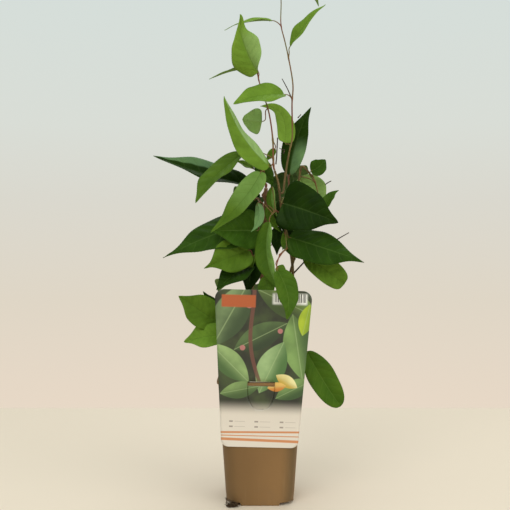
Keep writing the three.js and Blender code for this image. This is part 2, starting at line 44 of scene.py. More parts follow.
# The viewpoint: level, a little over half a metre in front of the leaves, at the height of the lowest
# ones. The picture is 510 pixels square and shows 700 pixels per unit of distance.
IMAGE_SIDE = 510
PIXELS_PER_UNIT = 700
VIEW_MIDDLE = (260, 253)
EYE = (0.0, -0.763, 0.263)
FILM_WIDTH = 36

camera = bpy.data.objects.new("camera", bpy.data.cameras.new("camera"))
camera.data.sensor_width = FILM_WIDTH
camera.data.lens = FILM_WIDTH * PIXELS_PER_UNIT / IMAGE_SIDE
camera.data.shift_x = (IMAGE_SIDE / 2 - VIEW_MIDDLE[0]) / IMAGE_SIDE
camera.data.shift_y = (VIEW_MIDDLE[1] - IMAGE_SIDE / 2) / IMAGE_SIDE
camera.data.clip_start = 0.01
camera.location = EYE
camera.rotation_euler = (math.pi / 2, 0, 0)
scene.collection.objects.link(camera)
scene.camera = camera
scene.view_settings.view_transform = "Standard"


def colour(red, green, blue):
    """A colour given as screen values from 0 to 255, as the linear values that shaders use."""
    screen = np.array([red, green, blue]) / 255
    linear = np.where(screen <= 0.04045, screen / 12.92, ((screen + 0.055) / 1.055) ** 2.4)
    return (*linear.tolist(), 1.0)


class Signal:
    """One output of a shader node. Sums, products and powers of it add the Math nodes they need."""

    def __init__(self, tree, socket):
        self.tree = tree
        self.socket = socket

    def combine(self, operation, *others):
        """One Math node of an operation, on signals and numbers."""
        node = self.tree.nodes.new("ShaderNodeMath")
        node.operation = operation
        for socket, value in zip(node.inputs, others):
            if isinstance(value, Signal):
                self.tree.links.new(value.socket, socket)
            else:
                socket.default_value = value
        return Signal(self.tree, node.outputs[0])

    def __add__(self, other):
        return self.combine("ADD", self, other)

    __radd__ = __add__

    def __sub__(self, other):
        return self.combine("SUBTRACT", self, other)

    def __rsub__(self, other):
        return self.combine("SUBTRACT", other, self)

    def __mul__(self, other):
        return self.combine("MULTIPLY", self, other)

    __rmul__ = __mul__

    def __truediv__(self, other):
        return self.combine("DIVIDE", self, other)

    def __pow__(self, other):
        return self.combine("POWER", self, other)

    def __abs__(self):
        return self.combine("ABSOLUTE", self)

    def fraction(self):
        return self.combine("FRACT", self)

    def sine(self):
        return self.combine("SINE", self)

    def least(self, other):
        return self.combine("MINIMUM", self, other)

    def rise(self, low, high):
        """0 below low, 1 above high, and a smooth slope between."""
        node = self.tree.nodes.new("ShaderNodeMapRange")
        node.interpolation_type = "SMOOTHSTEP"
        self.tree.links.new(self.socket, node.inputs[0])
        node.inputs[1].default_value = low
        node.inputs[2].default_value = high
        return Signal(self.tree, node.outputs[0])


class Finish:
    """A material while it is put together, or the room's light: one shader and the nodes that feed it."""

    def __init__(self, name, room=False, **settings):
        self.owner = (bpy.data.worlds if room else bpy.data.materials).new(name)
        self.owner.use_nodes = True
        self.tree = self.owner.node_tree
        self.shader = self.tree.nodes["Background" if room else "Principled BSDF"]
        for socket, value in settings.items():
            self.shader.inputs[socket.replace("_", " ")].default_value = value

    def add(self, kind, settings=None, inputs=None, output=0):
        """One node of a kind: its settings, then the values or links of its sockets."""
        node = self.tree.nodes.new("ShaderNode" + kind)
        for name, value in (settings or {}).items():
            setattr(node, name, value)
        for name, value in (inputs or {}).items():
            if isinstance(value, Signal):
                self.tree.links.new(value.socket, node.inputs[name])
            else:
                node.inputs[name].default_value = value
        return Signal(self.tree, node.outputs[output])

    def place(self):
        """Each point's place on the object."""
        return self.add("TexCoord", output="Object")

    def value(self, name, output="Fac"):
        """A number, or a triple as a vector, that the mesh keeps at each point."""
        return self.add("Attribute", {"attribute_name": name}, output=output)

    def parts(self, vector):
        """The three numbers of a vector."""
        node = self.add("SeparateXYZ", inputs={0: vector}).socket.node
        return [Signal(self.tree, socket) for socket in node.outputs]

    def noise(self, place, scale, detail):
        """A cloudy value round one half, with this many clouds to a unit of place."""
        inputs = {"Vector": place, "Scale": scale, "Detail": detail}
        return self.add("TexNoise", inputs=inputs, output="Fac")

    def mix(self, share, first, second):
        """Two colours, each a signal or screen values, blended by a share from 0 to 1."""
        first, second = (part if isinstance(part, Signal) else colour(*part) for part in (first, second))
        return self.add("Mix", {"data_type": "RGBA"}, {0: share, 6: first, 7: second}, output=2)

    def ramp(self, share, stops):
        """The colour at a share, between stops, each a place and three screen values."""
        shade = self.add("ValToRGB", inputs={0: share})
        elements = shade.socket.node.color_ramp.elements
        while len(elements) < len(stops):
            elements.new(0.5)
        for element, (place, *screen) in zip(elements, stops):
            element.position = place
            element.color = colour(*screen)
        return shade

    def relief(self, height, distance, strength=1.0):
        """Bumps: a height from 0 to 1 times a distance."""
        inputs = {"Height": height, "Distance": distance, "Strength": strength}
        self.feed("Normal", self.add("Bump", inputs=inputs))

    def feed(self, socket, signal):
        self.tree.links.new(signal.socket, self.shader.inputs[socket])


# The table and the room: a wide pale sheet under the pot, a pale wall of light all round that is brighter
# in front and above, and three big soft lamps, the strongest high on the left in front.
TABLE_SIDE = 2.5
TABLE_BACK = 0.425
TABLE_FRONT = -3.0
TABLE_COLOUR = (236, 220, 200)
WALL_STOPS = [(0.0, 231, 216, 198), (0.25, 223, 214, 198), (0.5, 218, 216, 206), (0.68, 217, 221, 214),
              (1.0, 213, 222, 218)]
WALL_LOW = -0.2
WALL_HIGH = 0.35
LIGHT_FROM = (0, -0.6, 0.8)
LIGHT_TURNED_AWAY = -0.6
LIGHT_BEHIND = 0.25
LIGHT_IN_FRONT = 1.05
PLANT_MIDDLE = Vector((0, 0, 0.25))

table_mesh = bpy.data.meshes.new("table")
corners = [(-TABLE_SIDE, TABLE_FRONT, 0), (TABLE_SIDE, TABLE_FRONT, 0)]
corners += [(TABLE_SIDE, TABLE_BACK, 0), (-TABLE_SIDE, TABLE_BACK, 0)]
table_mesh.from_pydata(corners, [], [(0, 1, 2, 3)])
table = bpy.data.objects.new("table", table_mesh)
scene.collection.objects.link(table)
table_mesh.materials.append(Finish("table_top", Base_Color=colour(*TABLE_COLOUR), Roughness=0.7).owner)

room = Finish("room", room=True)
way = room.add("TexCoord", output="Generated")
rise = {"Value": room.parts(way)[2], "From Min": WALL_LOW, "From Max": WALL_HIGH}
room.feed("Color", room.ramp(room.add("MapRange", inputs=rise), WALL_STOPS))
facing = room.add("VectorMath", {"operation": "DOT_PRODUCT"}, {0: way, 1: LIGHT_FROM}, output="Value")
spread = {"Value": facing, "From Min": LIGHT_TURNED_AWAY, "To Min": LIGHT_BEHIND, "To Max": LIGHT_IN_FRONT}
light = room.add("MapRange", {"interpolation_type": "SMOOTHSTEP"}, spread)
seen = room.add("LightPath", output="Is Camera Ray")
room.feed("Strength", room.add("MapRange", inputs={"Value": seen, "To Min": light}))
scene.world = room.owner


def soft_lamp(name, place, size, power, tint=(1, 1, 1)):
    """A square lamp at a place, turned towards the middle of the plant."""
    lamp = bpy.data.objects.new(name, bpy.data.lights.new(name, "AREA"))
    lamp.data.size = size
    lamp.data.energy = power
    lamp.data.color = tint
    lamp.location = place
    lamp.rotation_euler = (PLANT_MIDDLE - Vector(place)).to_track_quat("-Z", "Y").to_euler()
    scene.collection.objects.link(lamp)


soft_lamp("window_lamp", (-0.7, -1.6, 1.6), 1.2, 14)
soft_lamp("room_lamp", (1.4, -1.1, 0.8), 1.4, 9, (1.0, 0.97, 0.92))
soft_lamp("ceiling_lamp", (0.1, 0.9, 1.9), 1.4, 12)


# The pot: an injection-moulded square nursery pot in taupe plastic, widening upwards, with round corners,
# a flange round its rim, a foot that is notched up at the corners, and a drain hole in each corner.
MM = 0.001
FOOT_WIDTH = 71
RIM_WIDTH = 88
POT_HEIGHT = 130
POT_WALL = 1.2
POT_FLOOR = 1.8
CORNER_RADIUS = 15
FLANGE_WIDTH = 90.5
FLANGE_HEIGHT = 3.5
NOTCH_FROM = 19.5
NOTCH_SLOPE = 1.5
NOTCH_RISE = 3
NOTCH_FADE = 12
HOLE_RADIUS = 4
HOLE_FROM_MIDDLE = 27
HOLE_RINGS = 15
STRAIGHT_STEPS = np.array([0, 0.3, 0.6, 0.8, 0.9, 0.95])
CORNER_STEPS = 27
FLOOR_STEPS = 12
OUTSIDE_ROWS = 22
INSIDE_ROWS = 12
MERGE_DISTANCE = 0.001


def grid_faces(rows, columns, wrap=False):
    """Four-cornered faces between neighbours of a grid of points numbered row by row; wrap joins the last
    column to the first."""
    row = np.arange(rows - 1)[:, None] * columns
    column = np.arange(columns if wrap else columns - 1)[None, :]
    after = (column + 1) % columns
    corners = [row + column, row + after, row + columns + after, row + columns + column]
    return np.stack(np.broadcast_arrays(*corners), axis=-1).reshape(-1, 4)


def make_piece(name, points, faces, finishes, slot, nodes=(), index=None, flat=None, values=None):
    """A mesh object from points in millimetres and arrays of faces. It rides with the plant's one body and
    stands for CAD nodes; slot is not used. index picks a finish and flat turns off smooth shading, face by
    face; values are numbers or triples kept at each point."""
    mesh = bpy.data.meshes.new(name)
    sizes = np.concatenate([np.full(len(part), part.shape[1]) for part in faces])
    corners = np.concatenate([part.ravel() for part in faces])
    mesh.vertices.add(len(points))
    mesh.vertices.foreach_set("co", (np.asarray(points, np.float32) * MM).ravel())
    mesh.loops.add(len(corners))
    mesh.loops.foreach_set("vertex_index", corners.astype(np.int32))
    mesh.polygons.add(len(sizes))
    mesh.polygons.foreach_set("loop_start", np.concatenate([[0], np.cumsum(sizes)[:-1]]).astype(np.int32))
    smooth = np.ones(len(sizes), bool) if flat is None else ~flat
    for finish in finishes:
        mesh.materials.append(finish.owner)
    if index is not None:
        mesh.polygons.foreach_set("material_index", index.astype(np.int32))
    mesh.update(calc_edges=True)
    mesh.polygons.foreach_set("use_smooth", smooth)
    for key, numbers in (values or {}).items():
        triple = numbers.ndim == 2
        layer = mesh.attributes.new(key, "FLOAT_VECTOR" if triple else "FLOAT", "POINT")
        layer.data.foreach_set("vector" if triple else "value", numbers.astype(np.float32).ravel())
    piece = bpy.data.objects.new(name, mesh)
    scene.collection.objects.link(piece)
    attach(piece, "root")
    if nodes:
        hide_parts(*nodes)


def join(shapes):
    """Several shapes as one. Each is its points and a list of face arrays; what else it has is left out."""
    start = np.cumsum([0] + [len(shape[0]) for shape in shapes])
    faces = []
    for kind in range(len(shapes[0][1])):
        faces.append(np.vstack([shape[1][kind] + begin for shape, begin in zip(shapes, start)]))
    return np.vstack([shape[0] for shape in shapes]), faces


def merge_points(points, faces):
    """Points that lie in one place become one point."""
    keys = np.round(points / MERGE_DISTANCE).astype(np.int64)
    first, back = np.unique(keys, axis=0, return_index=True, return_inverse=True)[1:]
    return points[first], [back.ravel()[part] for part in faces]


def unit(vectors):
    """Vectors divided by their lengths."""
    return vectors / np.linalg.norm(vectors, axis=-1, keepdims=True)


def smooth_rise(x):
    """0 below 0, 1 above 1, and 3xx - 2xxx between."""
    x = np.clip(x, 0, 1)
    return x * x * (3 - 2 * x)


def quarter_outline(half, radius):
    """A quarter of a square with round corners, from the middle of the right side to the middle of the
    back side: a straight run, a quarter circle and a straight run."""
    run = (half - radius) * STRAIGHT_STEPS
    turn = np.linspace(0, np.pi / 2, CORNER_STEPS)
    side = np.stack([np.full(len(run), half), run], 1)
    corner = half - radius + radius * np.stack([np.cos(turn), np.sin(turn)], 1)
    return np.vstack([side, corner, side[::-1, ::-1]])


def notch(points):
    """How far the foot is raised: 3 mm in the corners, nothing along the middle of each side."""
    inner = np.minimum(np.abs(points[..., 0]), np.abs(points[..., 1]))
    return NOTCH_RISE * smooth_rise((inner - NOTCH_FROM) / NOTCH_SLOPE)


def half_width_at(z):
    """Half the pot's outer width, which grows evenly from the foot to the rim."""
    return (FOOT_WIDTH + (RIM_WIDTH - FOOT_WIDTH) * z / POT_HEIGHT) / 2


def wall_rows():
    """The wall's section as rows of half width, corner radius and height: round the foot's edge, up the
    outside, round the flange, over the rim and down the inside."""
    rows = []
    for inset, z in [(1.1, 0), (0.65, 0.08), (0.3, 0.3), (0.08, 0.7)]:
        rows.append((half_width_at(z) - inset, CORNER_RADIUS - inset, z))
    under = POT_HEIGHT - FLANGE_HEIGHT
    for z in np.linspace(1.3, under - 0.5, OUTSIDE_ROWS):
        rows.append((half_width_at(z), CORNER_RADIUS, z))
    out = FLANGE_WIDTH / 2
    for step, z in [(-1.3, under - 0.1), (-0.5, under), (-0.12, under + 0.12), (0, under + 0.5)]:
        rows.append((out + step, CORNER_RADIUS + 1 + step, z))
    for step, z in [(0, POT_HEIGHT - 0.6), (-0.15, POT_HEIGHT - 0.18), (-0.6, POT_HEIGHT)]:
        rows.append((out + step, CORNER_RADIUS + 1 + step, z))
    inner = RIM_WIDTH / 2 - POT_WALL
    for step, z in [(0.5, POT_HEIGHT), (0.12, POT_HEIGHT - 0.15), (0, POT_HEIGHT - 0.6)]:
        rows.append((inner + step, CORNER_RADIUS - POT_WALL + step, z))
    for z in np.linspace(POT_HEIGHT - 6, POT_FLOOR, INSIDE_ROWS):
        rows.append((half_width_at(z) - POT_WALL, CORNER_RADIUS - POT_WALL, z))
    return rows


def wall_quarter():
    """The wall's rows as outlines, raised by the notch, which dies away above the floor."""
    rings = []
    for half, radius, z in wall_rows():
        outline = quarter_outline(half, radius)
        fade = 1 - smooth_rise((z - POT_FLOOR) / NOTCH_FADE)
        rings.append(np.column_stack([outline, z + notch(outline) * fade]))
    return np.array(rings)


def floor_quarter(half, radius, z, outwards):
    """A quarter of the floor with its drain hole: straight lines from the outline to the hole's edge."""
    line = np.linspace(half, 0, FLOOR_STEPS)[1:]
    back = np.stack([np.zeros(len(line)), line], 1)
    home = np.stack([line[-2::-1], np.zeros(len(line) - 1)], 1)
    outline = np.vstack([quarter_outline(half, radius), back, home])
    middle = np.array([HOLE_FROM_MIDDLE, HOLE_FROM_MIDDLE])
    hole = middle + HOLE_RADIUS * unit(outline - middle)
    share = np.linspace(0, 1, HOLE_RINGS)[:, None, None]
    flat = outline + (hole - outline) * (share if outwards else 1 - share)
    return np.dstack([flat, z + notch(flat)])


def pot_mesh():
    """Four like quarters, each a wall strip and a floor patch that passes up through the drain hole."""
    wall = wall_quarter()
    rows = wall_rows()
    below = floor_quarter(*rows[0][:2], 0, True)
    above = floor_quarter(*rows[-1][:2], POT_FLOOR, False)
    floor = np.concatenate([below, above])
    patches = []
    for quarter in range(4):
        turn = np.linalg.matrix_power([[0, -1], [1, 0]], quarter)
        for grid, wrap, order in ((wall, False, 1), (floor, True, -1)):
            placed = np.dstack([grid[..., :2] @ turn.T, grid[..., 2]])
            faces = grid_faces(grid.shape[0], grid.shape[1], wrap)[:, ::order]
            patches.append((placed.reshape(-1, 3), [faces]))
    return merge_points(*join(patches))


def pot_finish():
    """Taupe plastic: a faint cloudiness from the mould, a grain, paler vertical streaks that are a painted
    highlight, and dust near the foot. Painted shade darkens it towards the left, and at the corners, where
    x and y both come near half the pot's width."""
    finish = Finish("taupe_pot_plastic", Specular_IOR_Level=0.2)
    place = finish.place()
    x, y, z = finish.parts(place)
    cloud = finish.noise(place, 14, 4)
    base = finish.mix(cloud, (126, 94, 58), (146, 112, 72))
    # Paler vertical streaks: a painted highlight on the plastic.
    streak = finish.noise(finish.add("Mapping", inputs={"Vector": place, "Scale": (300, 300, 12)}), 1, 2)
    base = finish.mix(streak.rise(0.55, 0.8) * 0.25, base, (158, 128, 90))
    dust = (1 - z.rise(0.0, 0.03)) * finish.noise(place, 60, 5).rise(0.45, 0.75) * 0.35
    # Painted shade: the pot's colour darkens towards the left.
    base = finish.mix((1 - x.rise(-0.035, 0.022)) * 0.45, base, (96, 74, 46))
    # Painted shade: darker at the rounded corners, most at the right ones.
    slope = (RIM_WIDTH - FOOT_WIDTH) / 2 / POT_HEIGHT
    half_width = z * slope + FOOT_WIDTH / 2 * MM
    corner = (abs(x).least(abs(y)) / half_width).rise(0.52, 0.95)
    base = finish.mix(corner * (0.2 + x.rise(-0.01, 0.02) * 0.4), base, (72, 64, 44))
    finish.feed("Base Color", finish.mix(dust, base, (120, 100, 74)))
    finish.feed("Roughness", 0.42 + cloud * 0.12 + dust * 0.4)
    finish.relief(finish.noise(place, 1500, 2) * 0.4 + finish.noise(place, 90, 3), 0.00012, 0.6)
    return finish


make_piece("nursery_pot", *pot_mesh(), [pot_finish()], "pot_plastic", ["pot"])


# The root ball: dark peat potting mix that fills the pot to a finger's width below the rim, with a rough
# crumbly top and loose crumbs and bark chips lying on it.
SOIL_TOP = 118
SOIL_GAP = 0.3
SOIL_CORNER = 0.33
SOIL_COLUMNS = 320
SOIL_ROWS = 100
SKIRT_HEIGHTS = (90.0, 60.0, 30.0, POT_FLOOR + NOTCH_RISE + SOIL_GAP)
CRUMB_COUNT = 900
CRUMB_REACH = 39.5
CRUMB_SIZES = (0.6, 1.9)


def at_share(path, share):
    """The points of a path at shares of its length."""
    steps = np.linalg.norm(np.diff(path, axis=0), axis=1)
    run = np.concatenate([[0], np.cumsum(steps)]) / steps.sum()
    return np.stack([np.interp(share, run, line) for line in path.T], -1)


def ripples(seed, count, low, high):
    """A bumpy function of two lengths: the sum of waves in random directions, with wave lengths from low
    to high and heights in step with them."""
    random = np.random.default_rng(seed)
    length = np.exp(random.uniform(np.log(low), np.log(high), count))
    heading = random.uniform(0, 2 * np.pi, count)
    phase = random.uniform(0, 2 * np.pi, count)
    weight = length / np.sqrt((length**2).sum() / 2)

    def height(x, y):
        total = np.zeros(np.broadcast(x, y).shape)
        for k in range(count):
            path = x * np.cos(heading[k]) + y * np.sin(heading[k])
            total += weight[k] * np.sin(2 * np.pi * path / length[k] + phase[k])
        return total

    return height


def soil_mesh():
    """Rings that shrink from the wall to the middle, raised by ripples, with a skirt down to the floor."""
    outline = quarter_outline(1, SOIL_CORNER)
    around = np.vstack([outline[:-1] @ np.linalg.matrix_power([[0, 1], [-1, 0]], k) for k in range(4)])
    around = at_share(np.vstack([around, around[:1]]), np.linspace(0, 1, SOIL_COLUMNS, endpoint=False))
    half = half_width_at(SOIL_TOP) - POT_WALL - SOIL_GAP
    share = np.linspace(1, 0.004, SOIL_ROWS)[:, None, None]
    flat = around * half * share
    coarse = ripples(3, 18, 8, 30)(flat[..., 0], flat[..., 1])
    fine = ripples(4, 60, 1.6, 5)(flat[..., 0], flat[..., 1])
    edge = smooth_rise((1 - share[..., 0]) / 0.05)
    top = SOIL_TOP + (0.7 * coarse + 0.45 * fine) * edge
    rings = [np.dstack([flat, top])]
    for z in SKIRT_HEIGHTS:
        skirt = (around * (half_width_at(z) - POT_WALL - SOIL_GAP))[None]
        rings.insert(0, np.dstack([skirt, np.full(skirt.shape[:2], z)]))
    under = np.dstack([skirt * 0.02, np.full(skirt.shape[:2], z)])
    grid = np.concatenate([under, *rings])
    return grid.reshape(-1, 3), [grid_faces(grid.shape[0], SOIL_COLUMNS, True)]


def scatter(seed, spots, sizes, squash):
    """Small faceted stones: a ball of twenty faces for each spot, stretched and turned at random."""
    random = np.random.default_rng(seed)
    count = len(spots)
    golden = (1 + 5**0.5) / 2
    ball = np.array([[-1, golden, 0], [1, golden, 0], [-1, -golden, 0], [1, -golden, 0], [0, -1, golden],
                     [0, 1, golden], [0, -1, -golden], [0, 1, -golden], [golden, 0, -1], [golden, 0, 1],
                     [-golden, 0, -1], [-golden, 0, 1]]) / 1.9
    sides = np.array([[0, 11, 5], [0, 5, 1], [0, 1, 7], [0, 7, 10], [0, 10, 11], [1, 5, 9], [5, 11, 4],
                      [11, 10, 2], [10, 7, 6], [7, 1, 8], [3, 9, 4], [3, 4, 2], [3, 2, 6], [3, 6, 8],
                      [3, 8, 9], [4, 9, 5], [2, 4, 11], [6, 2, 10], [8, 6, 7], [9, 8, 1]])
    stretch = random.uniform(0.55, 1.3, (count, 1, 3)) * np.array([1, 1, squash])
    rough = random.uniform(0.8, 1.15, (count, 12, 1))
    shapes = ball[None] * rough * stretch * random.uniform(*sizes, (count, 1, 1))
    turn = random.uniform(0, 2 * np.pi, (count, 1))
    x = shapes[..., 0] * np.cos(turn) - shapes[..., 1] * np.sin(turn)
    y = shapes[..., 0] * np.sin(turn) + shapes[..., 1] * np.cos(turn)
    points = np.stack([x, y, shapes[..., 2]], -1) + spots[:, None, :]
    faces = sides[None] + 12 * np.arange(count)[:, None, None]
    return points.reshape(-1, 3), [faces.reshape(-1, 3)]


def soil_finish():
    """Dark damp peat with brown bark chips in it."""
    finish = Finish("dark_peat", Specular_IOR_Level=0.2)
    place = finish.place()
    base = finish.mix(finish.noise(place, 220, 5).rise(0.35, 0.7), (30, 21, 15), (62, 44, 30))
    chip = finish.noise(place, 480, 2).rise(0.62, 0.68)
    finish.feed("Base Color", finish.mix(chip * 0.6, base, (92, 66, 42)))
    finish.feed("Roughness", 0.85 + chip * 0.1)
    finish.relief(finish.noise(place, 900, 4), 0.0006)
    return finish


peat = soil_finish()
make_piece("potting_soil", *soil_mesh(), [peat], "potting_soil", ["soil"])

crumb_spots = np.random.default_rng(11).uniform(-CRUMB_REACH, CRUMB_REACH, (CRUMB_COUNT, 2))
crumb_spots = np.column_stack([crumb_spots, np.full(CRUMB_COUNT, SOIL_TOP + 0.5)])
crumb_points, crumb_faces = scatter(12, crumb_spots, CRUMB_SIZES, 0.6)
crumb_flat = np.ones(len(crumb_faces[0]), bool)
make_piece("soil_crumbs", crumb_points, crumb_faces, [peat], "potting_soil", flat=crumb_flat)


# The label: a printed plastic card that leans on the pot's front. A tongue cut from it hooks over the rim,
# and below the cut a flap stays in the card, pressed a little inwards.
CARD_LOW = 62.5
CARD_HEIGHT = 163.6
CARD_LOW_WIDTH = 79
CARD_TOP_WIDTH = 99.5
CARD_THICK = 0.8
CARD_OFF_CENTRE = 1.6
CARD_TURN = math.radians(-1.5)
CARD_LOW_CORNER = 7
CARD_TOP_CORNER = 10
SLOT_HALF = 14
SLOT_HIGH = 69
SLIT_LOW = 64.3
FLAP_LOW = 40
FLAP_ROUND = 20
FLAP_DRAWN = 0.55
FLAP_GAP = 0.2
FLAP_SINK = 0.28
SIDE_COLUMNS = 14
OPENING_COLUMNS = 13
TONGUE_HALF = 12.5
TONGUE_THICK = 0.5
TONGUE_LOW = 119.2
TONGUE_Y = -41.6

card_foot_y = -half_width_at(CARD_LOW) - SOIL_GAP
card_rim_y = -FLANGE_WIDTH / 2 - SOIL_GAP
card_lean = math.atan((card_foot_y - card_rim_y) / (POT_HEIGHT - 2 - CARD_LOW))


def on_card(across, up, front):
    """A point of the card, from its place across it, up it and in front of its back: turned a little in
    its own plane, then leant forwards, then set at the pot's front."""
    rise = up - CARD_HEIGHT / 2
    side = across * math.cos(CARD_TURN) - rise * math.sin(CARD_TURN)
    high = across * math.sin(CARD_TURN) + rise * math.cos(CARD_TURN) + CARD_HEIGHT / 2
    y = card_foot_y - high * math.sin(card_lean) - front * math.cos(card_lean)
    z = CARD_LOW + high * math.cos(card_lean) - front * math.sin(card_lean)
    return np.stack([side + CARD_OFF_CENTRE, y, z], -1)


def corner_cut(distance, radius):
    """How far a round corner of this radius draws the edge in, at a distance from the end."""
    inside = np.clip(1 - distance / radius, 0, 1)
    return radius * (1 - np.sqrt(1 - inside**2))


def card_half(up):
    """Half the card's width: slanted straight sides, less what the round corners cut off."""
    straight = (CARD_LOW_WIDTH + (CARD_TOP_WIDTH - CARD_LOW_WIDTH) * up / CARD_HEIGHT) / 2
    return straight - corner_cut(up, CARD_LOW_CORNER) - corner_cut(CARD_HEIGHT - up, CARD_TOP_CORNER)


def flap_half(up):
    """Half the flap's width: straight sides that draw in to a round lower end."""
    return SLOT_HALF - FLAP_DRAWN * corner_cut(up - FLAP_LOW, FLAP_ROUND)


def closed_sheet(place, across, up, thick, keep=None, sink=0.0):
    """A closed flat sheet: its front and back are grids, and strips along their free edges join them. With
    its points and faces come which faces are flat and each point's place on the print."""
    rows, columns = across.shape
    count = rows * columns
    front = place(across, up, thick - sink).reshape(-1, 3)
    back = place(across, up, -sink).reshape(-1, 3)
    faces = grid_faces(rows, columns)
    if keep is not None:
        faces = faces[keep.ravel()]
    edges = np.concatenate([faces[:, [k, (k + 1) % 4]] for k in range(4)])
    names = edges[:, 0] * count + edges[:, 1]
    twins = edges[:, 1] * count + edges[:, 0]
    free = edges[~np.isin(names, twins)]
    rim = np.stack([free[:, 1], free[:, 0], free[:, 0] + count, free[:, 1] + count], 1)
    flat = np.concatenate([np.zeros(len(faces) * 2, bool), np.ones(len(rim), bool)])
    on_print = np.stack([across, up, np.zeros_like(up)], -1).reshape(-1, 3)
    used = np.vstack([faces, faces[:, ::-1] + count, rim])
    return np.vstack([front, back]), [used], flat, np.vstack([on_print, on_print + [0, 0, 1]])


def card_shape():
    """The card as a grid whose columns gather at the flap's sides, with the flap's cells left out."""
    low_corner = np.linspace(0, 1, 10) ** 2 * CARD_LOW_CORNER
    flap_rows = np.linspace(FLAP_LOW, SLIT_LOW, 22)
    top_corner = CARD_HEIGHT - np.linspace(1, 0, 12) ** 2 * CARD_TOP_CORNER
    up = np.concatenate([low_corner, np.linspace(10, 38, 10), flap_rows, [66, SLOT_HIGH],
                         np.linspace(74, 150, 24), top_corner])
    opening = np.where(up < SLIT_LOW, flap_half(np.maximum(up, FLAP_LOW)), SLOT_HALF)
    edge = card_half(up)[:, None]
    hole = opening[:, None]
    left = -edge + (edge - hole) * np.linspace(0, 1, SIDE_COLUMNS)
    middle = hole * np.linspace(-1, 1, OPENING_COLUMNS)[1:-1]
    across = np.hstack([left, middle, -left[:, ::-1]])
    rows = (up[:-1, None] >= FLAP_LOW - 0.01) & (up[1:, None] <= SLOT_HIGH + 0.01)
    cell = np.arange(across.shape[1] - 1)
    columns = (cell >= SIDE_COLUMNS - 1) & (cell < SIDE_COLUMNS + OPENING_COLUMNS - 2)
    keep = ~(rows & columns)
    return closed_sheet(on_card, across, np.broadcast_to(up[:, None], across.shape), CARD_THICK, keep)


def flap_shape():
    """The flap, a little smaller than its place in the card and sunk most at its upper end."""
    high = np.linspace(FLAP_LOW + 0.1, SLIT_LOW - 0.1, 26)
    up, side = np.meshgrid(high, np.linspace(-1, 1, 15), indexing="ij")
    sink = FLAP_SINK * smooth_rise((up - FLAP_LOW) / (SLIT_LOW - FLAP_LOW))
    return closed_sheet(on_card, (flap_half(up) - FLAP_GAP) * side, up, CARD_THICK, sink=sink)


def tongue_shape():
    """A strip from the top of the slit, back over the rim and down inside it, with round bends."""
    high = POT_HEIGHT + SOIL_GAP + CARD_THICK / 2
    y, z = on_card(np.array(0.0), np.array(SLOT_HIGH + 0.2), 0.3)[1:]
    bends = [(y, z), (y + 0.5, high + 0.15), (y + 1.4, high), (TONGUE_Y - 1.2, high)]
    bends += [(TONGUE_Y - 0.35, high - 0.3), (TONGUE_Y, high - 1.2), (TONGUE_Y, 124.0)]
    bends += [(TONGUE_Y, TONGUE_LOW)]
    line = np.array(bends)
    way = unit(np.gradient(line, axis=0))
    square = np.stack([-way[:, 1], way[:, 0]], 1)

    def place(across, up, front):
        middle = (line + square * (front - 0.2))[:, None]
        return np.dstack([across + CARD_OFF_CENTRE, np.broadcast_to(middle, (*across.shape, 2))])

    across = np.broadcast_to(np.linspace(-TONGUE_HALF, TONGUE_HALF, 9), (len(line), 9))
    up = np.broadcast_to((SLOT_HIGH - 3.0 * np.arange(len(line)))[:, None], across.shape)
    return closed_sheet(place, across, up, TONGUE_THICK)


def leaf_patch(x, y, middle, heading, length, width):
    """Mask of a plain pointed oval on the print, and the place across it: inside where the place across
    is less than 1 minus the square of the place along."""
    angle = math.radians(heading)
    dx = x - middle[0]
    dy = y - middle[1]
    along = (dx * math.cos(angle) + dy * math.sin(angle)) * (2 / length)
    across = (dy * math.cos(angle) - dx * math.sin(angle)) * (2 / width)
    return (1 - along * along - abs(across)).rise(0.0, 0.06), across


def within(x, y, middle, half_wide, half_high, soft):
    """Mask of a box on the print with soft edges."""
    across = 1 - abs(x - middle[0]).rise(half_wide - soft, half_wide)
    return across * (1 - abs(y - middle[1]).rise(half_high - soft, half_high))


